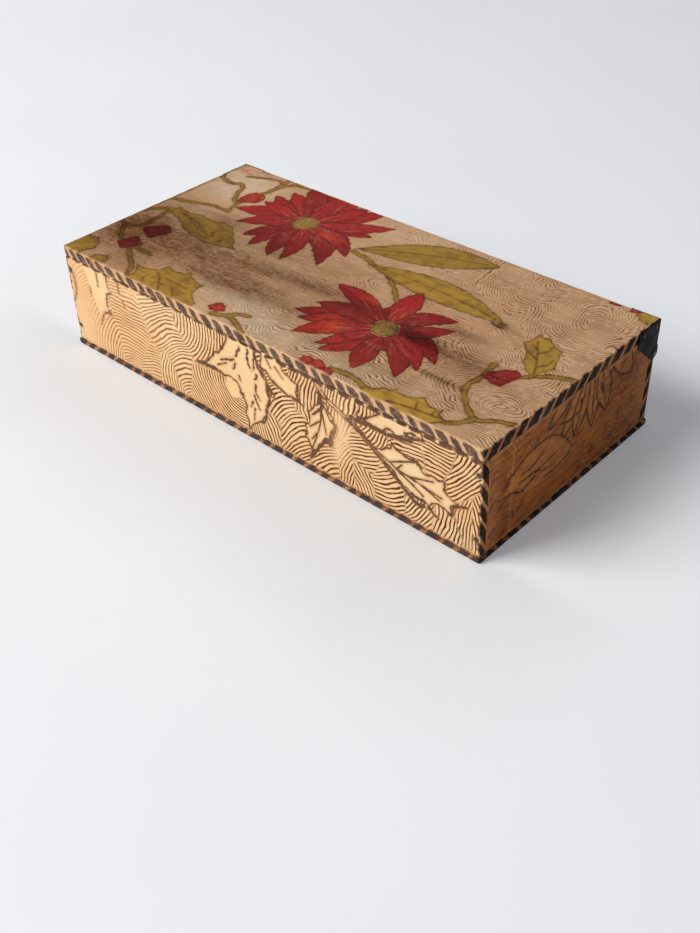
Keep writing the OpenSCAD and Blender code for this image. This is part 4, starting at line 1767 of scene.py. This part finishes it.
@dataclass
class Studio:
    """A pale floor, one broad soft lamp from the front left, and the camera.

    Attributes:
        place: where the camera stands, in millimetres.
        azimuth: how far it has gone round to the right of the front, in radians.
        elevation: how far it looks down, in radians.
        roll: its turn about its own line, in radians.
        lens: its focal length in millimetres on a sensor 36 mm long.
        lamp: the direction of the lamp.
        reach: how far off the lamp is, in metres.
        power: the lamp's power in watts.
        sky: the strength of the light from all round.
    """

    place: Spot = (368.87, -384.84, 356.88)
    azimuth: float = 0.76289
    elevation: float = 0.6647
    roll: float = -0.03643
    lens: float = 44.58
    lamp: Spot = (-0.5, -0.63, 0.7)
    reach: float = 3.2
    power: float = 103.0
    sky: float = 0.19

    def camera(self) -> None:
        """Sets up the camera: its axes follow from azimuth and elevation, then turn by the roll."""
        around, level = self.azimuth, math.cos(self.elevation)
        ahead = Vector((-math.sin(around) * level, math.cos(around) * level, -math.sin(self.elevation)))
        right = ahead.cross(Vector((0, 0, 1))).normalized()
        up = right.cross(ahead)
        cosine, sine = math.cos(self.roll), math.sin(self.roll)
        across = cosine * right + sine * up
        upward = cosine * up - sine * right
        data = bpy.data.cameras.new("camera")
        data.lens, data.sensor_width = self.lens, 36.0
        data.clip_start, data.clip_end = 0.01, 50.0
        camera = bpy.data.objects.new("camera", data)
        turn = Matrix((across, upward, -ahead)).transposed().to_4x4()
        camera.matrix_world = Matrix.Translation(Vector(self.place) * MM) @ turn
        bpy.context.scene.collection.objects.link(camera)
        bpy.context.scene.camera = camera

    def lights(self) -> None:
        """Hangs the square lamp, and lights the world evenly; the camera sees the world as a pale wall."""
        data = bpy.data.lights.new("soft_lamp", "AREA")
        data.size, data.energy = 0.6 * self.reach, self.power
        data.color = linear("#fffcf8")[:3]
        lamp = bpy.data.objects.new("soft_lamp", data)
        way = Vector(self.lamp).normalized()
        turn = way.to_track_quat("Z", "Y").to_matrix().to_4x4()
        lamp.matrix_world = Matrix.Translation(way * self.reach) @ turn
        bpy.context.scene.collection.objects.link(lamp)
        g = Graph(bpy.data.worlds.new("studio"))
        glow = g.add("Background", "#f4f8ff", self.sky)
        wall = g.add("Background", "#e9ebef", 1.0)
        seen = g.add("LightPath", out="Is Camera Ray")
        bpy.context.scene.world = g.finish(g.add("MixShader", seen, glow, wall), "OutputWorld")

    def floor(self) -> None:
        """Lays the floor: painted board that the camera sees brighter, and that far off turns into the wall.

        Along the box's front it is a painted shade, a quarter darker, to offset the light that the front
        throws on it there.
        """
        g = Graph(bpy.data.materials.new("white_painted_board"))
        cloud = g.ramp(g.noise(g.millimetres(), 1 / 160, 3.0), 0.3, 0.7)
        tint = g.mix(cloud, "#edf0f4", "#f1f3f7")
        x, y, _ = g.add("SeparateXYZ", g.millimetres(), out=None)
        ahead = g.soft(y, -190.0, -75.0, 0.0, 1.0)
        behind = g.ramp(y, -70.0, -60.0, 1.0, 0.0)
        beside = g.ramp(g.math("ABSOLUTE", x), 120.0, 230.0, 1.0, 0.0)
        # Painted shade along the box's front.
        painted_shade = g.times(ahead, behind, beside)
        tint = g.mix(painted_shade, tint, "#d6d8db")
        matt = g.add("BsdfPrincipled", {"Base Color": tint, "Roughness": 0.7, "Specular IOR Level": 0.3})
        glow = g.add("Emission", "#f3f6fb", 0.17)
        both = g.add("AddShader", matt, glow)
        seen = g.add("LightPath", out="Is Camera Ray")
        mirrored = g.add("LightPath", out="Is Glossy Ray")
        either = g.math("MAXIMUM", seen, mirrored)
        far = g.add("VectorMath", g.millimetres(), out="Value", operation="LENGTH")
        far = g.times(g.ramp(far, 700.0, 1700.0), seen)
        shader = g.add("MixShader", either, matt, both)
        shader = g.add("MixShader", far, shader, g.add("Emission", "#e9ebef", 1.0))
        mesh = bpy.data.meshes.new("floor")
        mesh.from_pydata([(-4, -4, 0), (4, -4, 0), (4, 4, 0), (-4, 4, 0)], [], [(0, 1, 2, 3)])
        mesh.materials.append(g.finish(shader))
        floor = bpy.data.objects.new("floor", mesh)
        bpy.context.scene.collection.objects.link(floor)


def finishes() -> dict[str, BurnedWood]:
    """Sets up the boards' materials.

    Returns:
        The materials, by board.
    """
    pale = ("#ffddaa", "#fdcd95", "#e2a869")
    end = ("#d98030", "#c66d23", "#894415")
    return {
        "lid": BurnedWood(
            "basswood_stained_and_handled", "#e6bd93", "#d9aa7f", "#a67752", line_shade="#8a5d42",
            scorch="#b98c66", char="#4e2a1c", spacing=1.35, line=0.13, ink=0.24, bold=0.5, outlined=0.8,
            fading=0.45, halo=0.4, broken=0.5, flecks=0.9, specks=0.75, faded="#e4ceb0", dab="#0a0605",
            dab_light="#6f5950", toasted_light="#f0c08a",
        ),
        "front": BurnedWood(
            "basswood_burned_front", *pale, line_shade="#66300f", faded="#ffe0ae", scorch="#c58044",
            char="#431e18", ash="#764840", halo=0.65, spacing=2.1, line=0.32, ink=0.34, bold=0.85,
            outlined=0.85, fading=0.45,
        ),
        "back": BurnedWood(
            "basswood_burned_back", *end, faded="#dcab74", line_shade="#5d3520", bold=0.5, spacing=2.0,
            line=0.25,
        ),
        "end": BurnedWood(
            "basswood_burned_end", *end, faded="#dca05e", fibre=(0.35, 9.0, 0.35), line_shade="#754524",
            scorch="#9c6030", char="#2a140c", line=0.22, ink=0.33, bold=0.7, outlined=0.85, figure=0.65,
            grime="#8d6a48", broken=0.4, flecks=1.0, specks=0.3,
        ),
        "base": BurnedWood(
            "basswood_base", "#e0b582", "#cf9f6b", "#a8794a", toasted="#8c5128", toasted_light="#b07645",
            dab_light="#5d4740",
        ),
    }


def boards() -> list[Board]:
    """Sets up the boards, the dabs along their edges and their nail dents.

    Returns:
        The six boards, from the base up.
    """
    wood = finishes()
    fine = Rope(pitch=9.5, width=7.0, slant=-5.0, notch=0.35, toast=0.95, seam=0.3, spill=0.35)
    band = Rope(pitch=11.6, width=8.0, slant=-8.0, top=-0.2, foot=1.2, notch=0.4, toast=0.95)
    bold = Rope(
        pitch=DAB_PITCH, width=5.2, slant=4.2, top=0.13, foot=0.86, notch=0.6, toast=0.6, char=0.2, seam=0.4,
        spill=0.0, stray=0.12,
    )
    foot = Rope(pitch=8.5, slant=2.8, notch=0.3, toast=0.95, seam=0.2, stray=0.12)
    lid_ropes = {
        "low": replace(bold, start=38.4),
        "high": replace(bold, start=2.0),
        "start": replace(fine, start=1.0),
        "end": replace(fine, start=4.0),
    }
    chars = {"high": 0.3, "low": 0.12, "start": 0.6, "end": 0.85}
    base_ropes = {
        name: replace(foot, start=3 * char, char=char, width=5 + 1.7 * char) for name, char in chars.items()
    }
    ends = {"start": replace(band, start=12.0), "end": replace(band, start=15.0)}
    base_nails = [(x, y) for x in LONG_X for y in (LONG_Y, -LONG_Y)]
    base_nails += [(x, y) for x in (-END_X, END_X) for y in (SHORT_Y, -SHORT_Y)]
    front_nails = [(x, z) for x in (-END_X, END_X) for z in FRONT_Z]
    back_nails = [(x, z) for x in (-END_X, END_X) for z in BACK_Z]
    return [
        Board(
            "base_board", Side.UNDER, wood["base"], slot="base_wood", cell=1.2, ropes=base_ropes,
            nails=base_nails,
        ),
        FrontPanel(
            "front_panel", Side.FRONT, wood["front"], cell=0.65, ropes=ends, nails=front_nails, seed=2
        ),
        BackPanel("back_panel", Side.BACK, wood["back"], cell=0.75, ropes=ends, nails=back_nails, seed=3),
        EndPanel("left_end_panel", Side.LEFT, wood["end"], seed=4),
        EndPanel("right_end_panel", Side.RIGHT, wood["end"], seed=5),
        Lid("lid_board", Side.TOP, wood["lid"], "lid", "lid_wood", cell=0.8, ropes=lid_ropes, seed=6),
    ]


def fittings() -> list[HingePlate | Nails]:
    """Sets up the metal parts.

    Returns:
        The hinge plates, nails and tacks.
    """
    tin = AgedMetal(
        "tinplate_dulled", "#241f1b", "#1a1613", "#0d0b09", metallic=0.9, roughness=0.62, patch=9.0
    )
    iron = AgedMetal(
        "wire_iron_browned", "#8f8a84", "#57504a", "#3a2c24", metallic=0.6, roughness=0.5, patch=1.6
    )
    under, up = 0.1, (0, 0, 1)
    made: list[HingePlate | Nails] = [HingePlate(-1, tin), HingePlate(1, tin)]
    for hand, word in ((-1, "left"), (1, "right")):
        x, inward = END_X * hand, (-hand, 0, 0)
        tacks = [((147.0 * hand, y, TACK_Z), inward) for y in (66.4, 55.0)]
        tacks.append(((134.0 * hand, 71.0, TACK_Z), (0, -1, 0)))
        made += [
            Nails(f"front_{word}_nails", [((x, -70, z), (0, 1, 0)) for z in FRONT_Z], iron),
            Nails(f"back_{word}_nails", [((x, 70, z), (0, -1, 0)) for z in BACK_Z], iron),
            Nails(f"base_{word}_nails", [((x, y, under), up) for y in (-SHORT_Y, SHORT_Y)], iron, 14.0),
            Nails(f"{word}_pivot_nail", [((147.2 * hand, *PIVOT), inward)], iron, 16.0, wire=0.8, head=1.5),
            Nails(f"{word}_hinge_tacks", tacks, iron, 9.0, wire=0.55, head=1.2, head_t=0.3, body="lid"),
        ]
    for y, word in ((-LONG_Y, "front"), (LONG_Y, "back")):
        made.append(Nails(f"base_{word}_nails", [((x, y, under), up) for x in LONG_X], iron, 14.0))
    return made


def main() -> None:
    """Builds the studio, the boards and the fittings."""
    logging.basicConfig(level=logging.INFO, format="%(name)s %(message)s")
    bpy.context.scene.view_settings.view_transform = "Standard"
    studio = Studio()
    studio.camera()
    studio.lights()
    studio.floor()
    for part in [*boards(), *fittings()]:
        part.build()


if __name__ == "__main__":
    main()
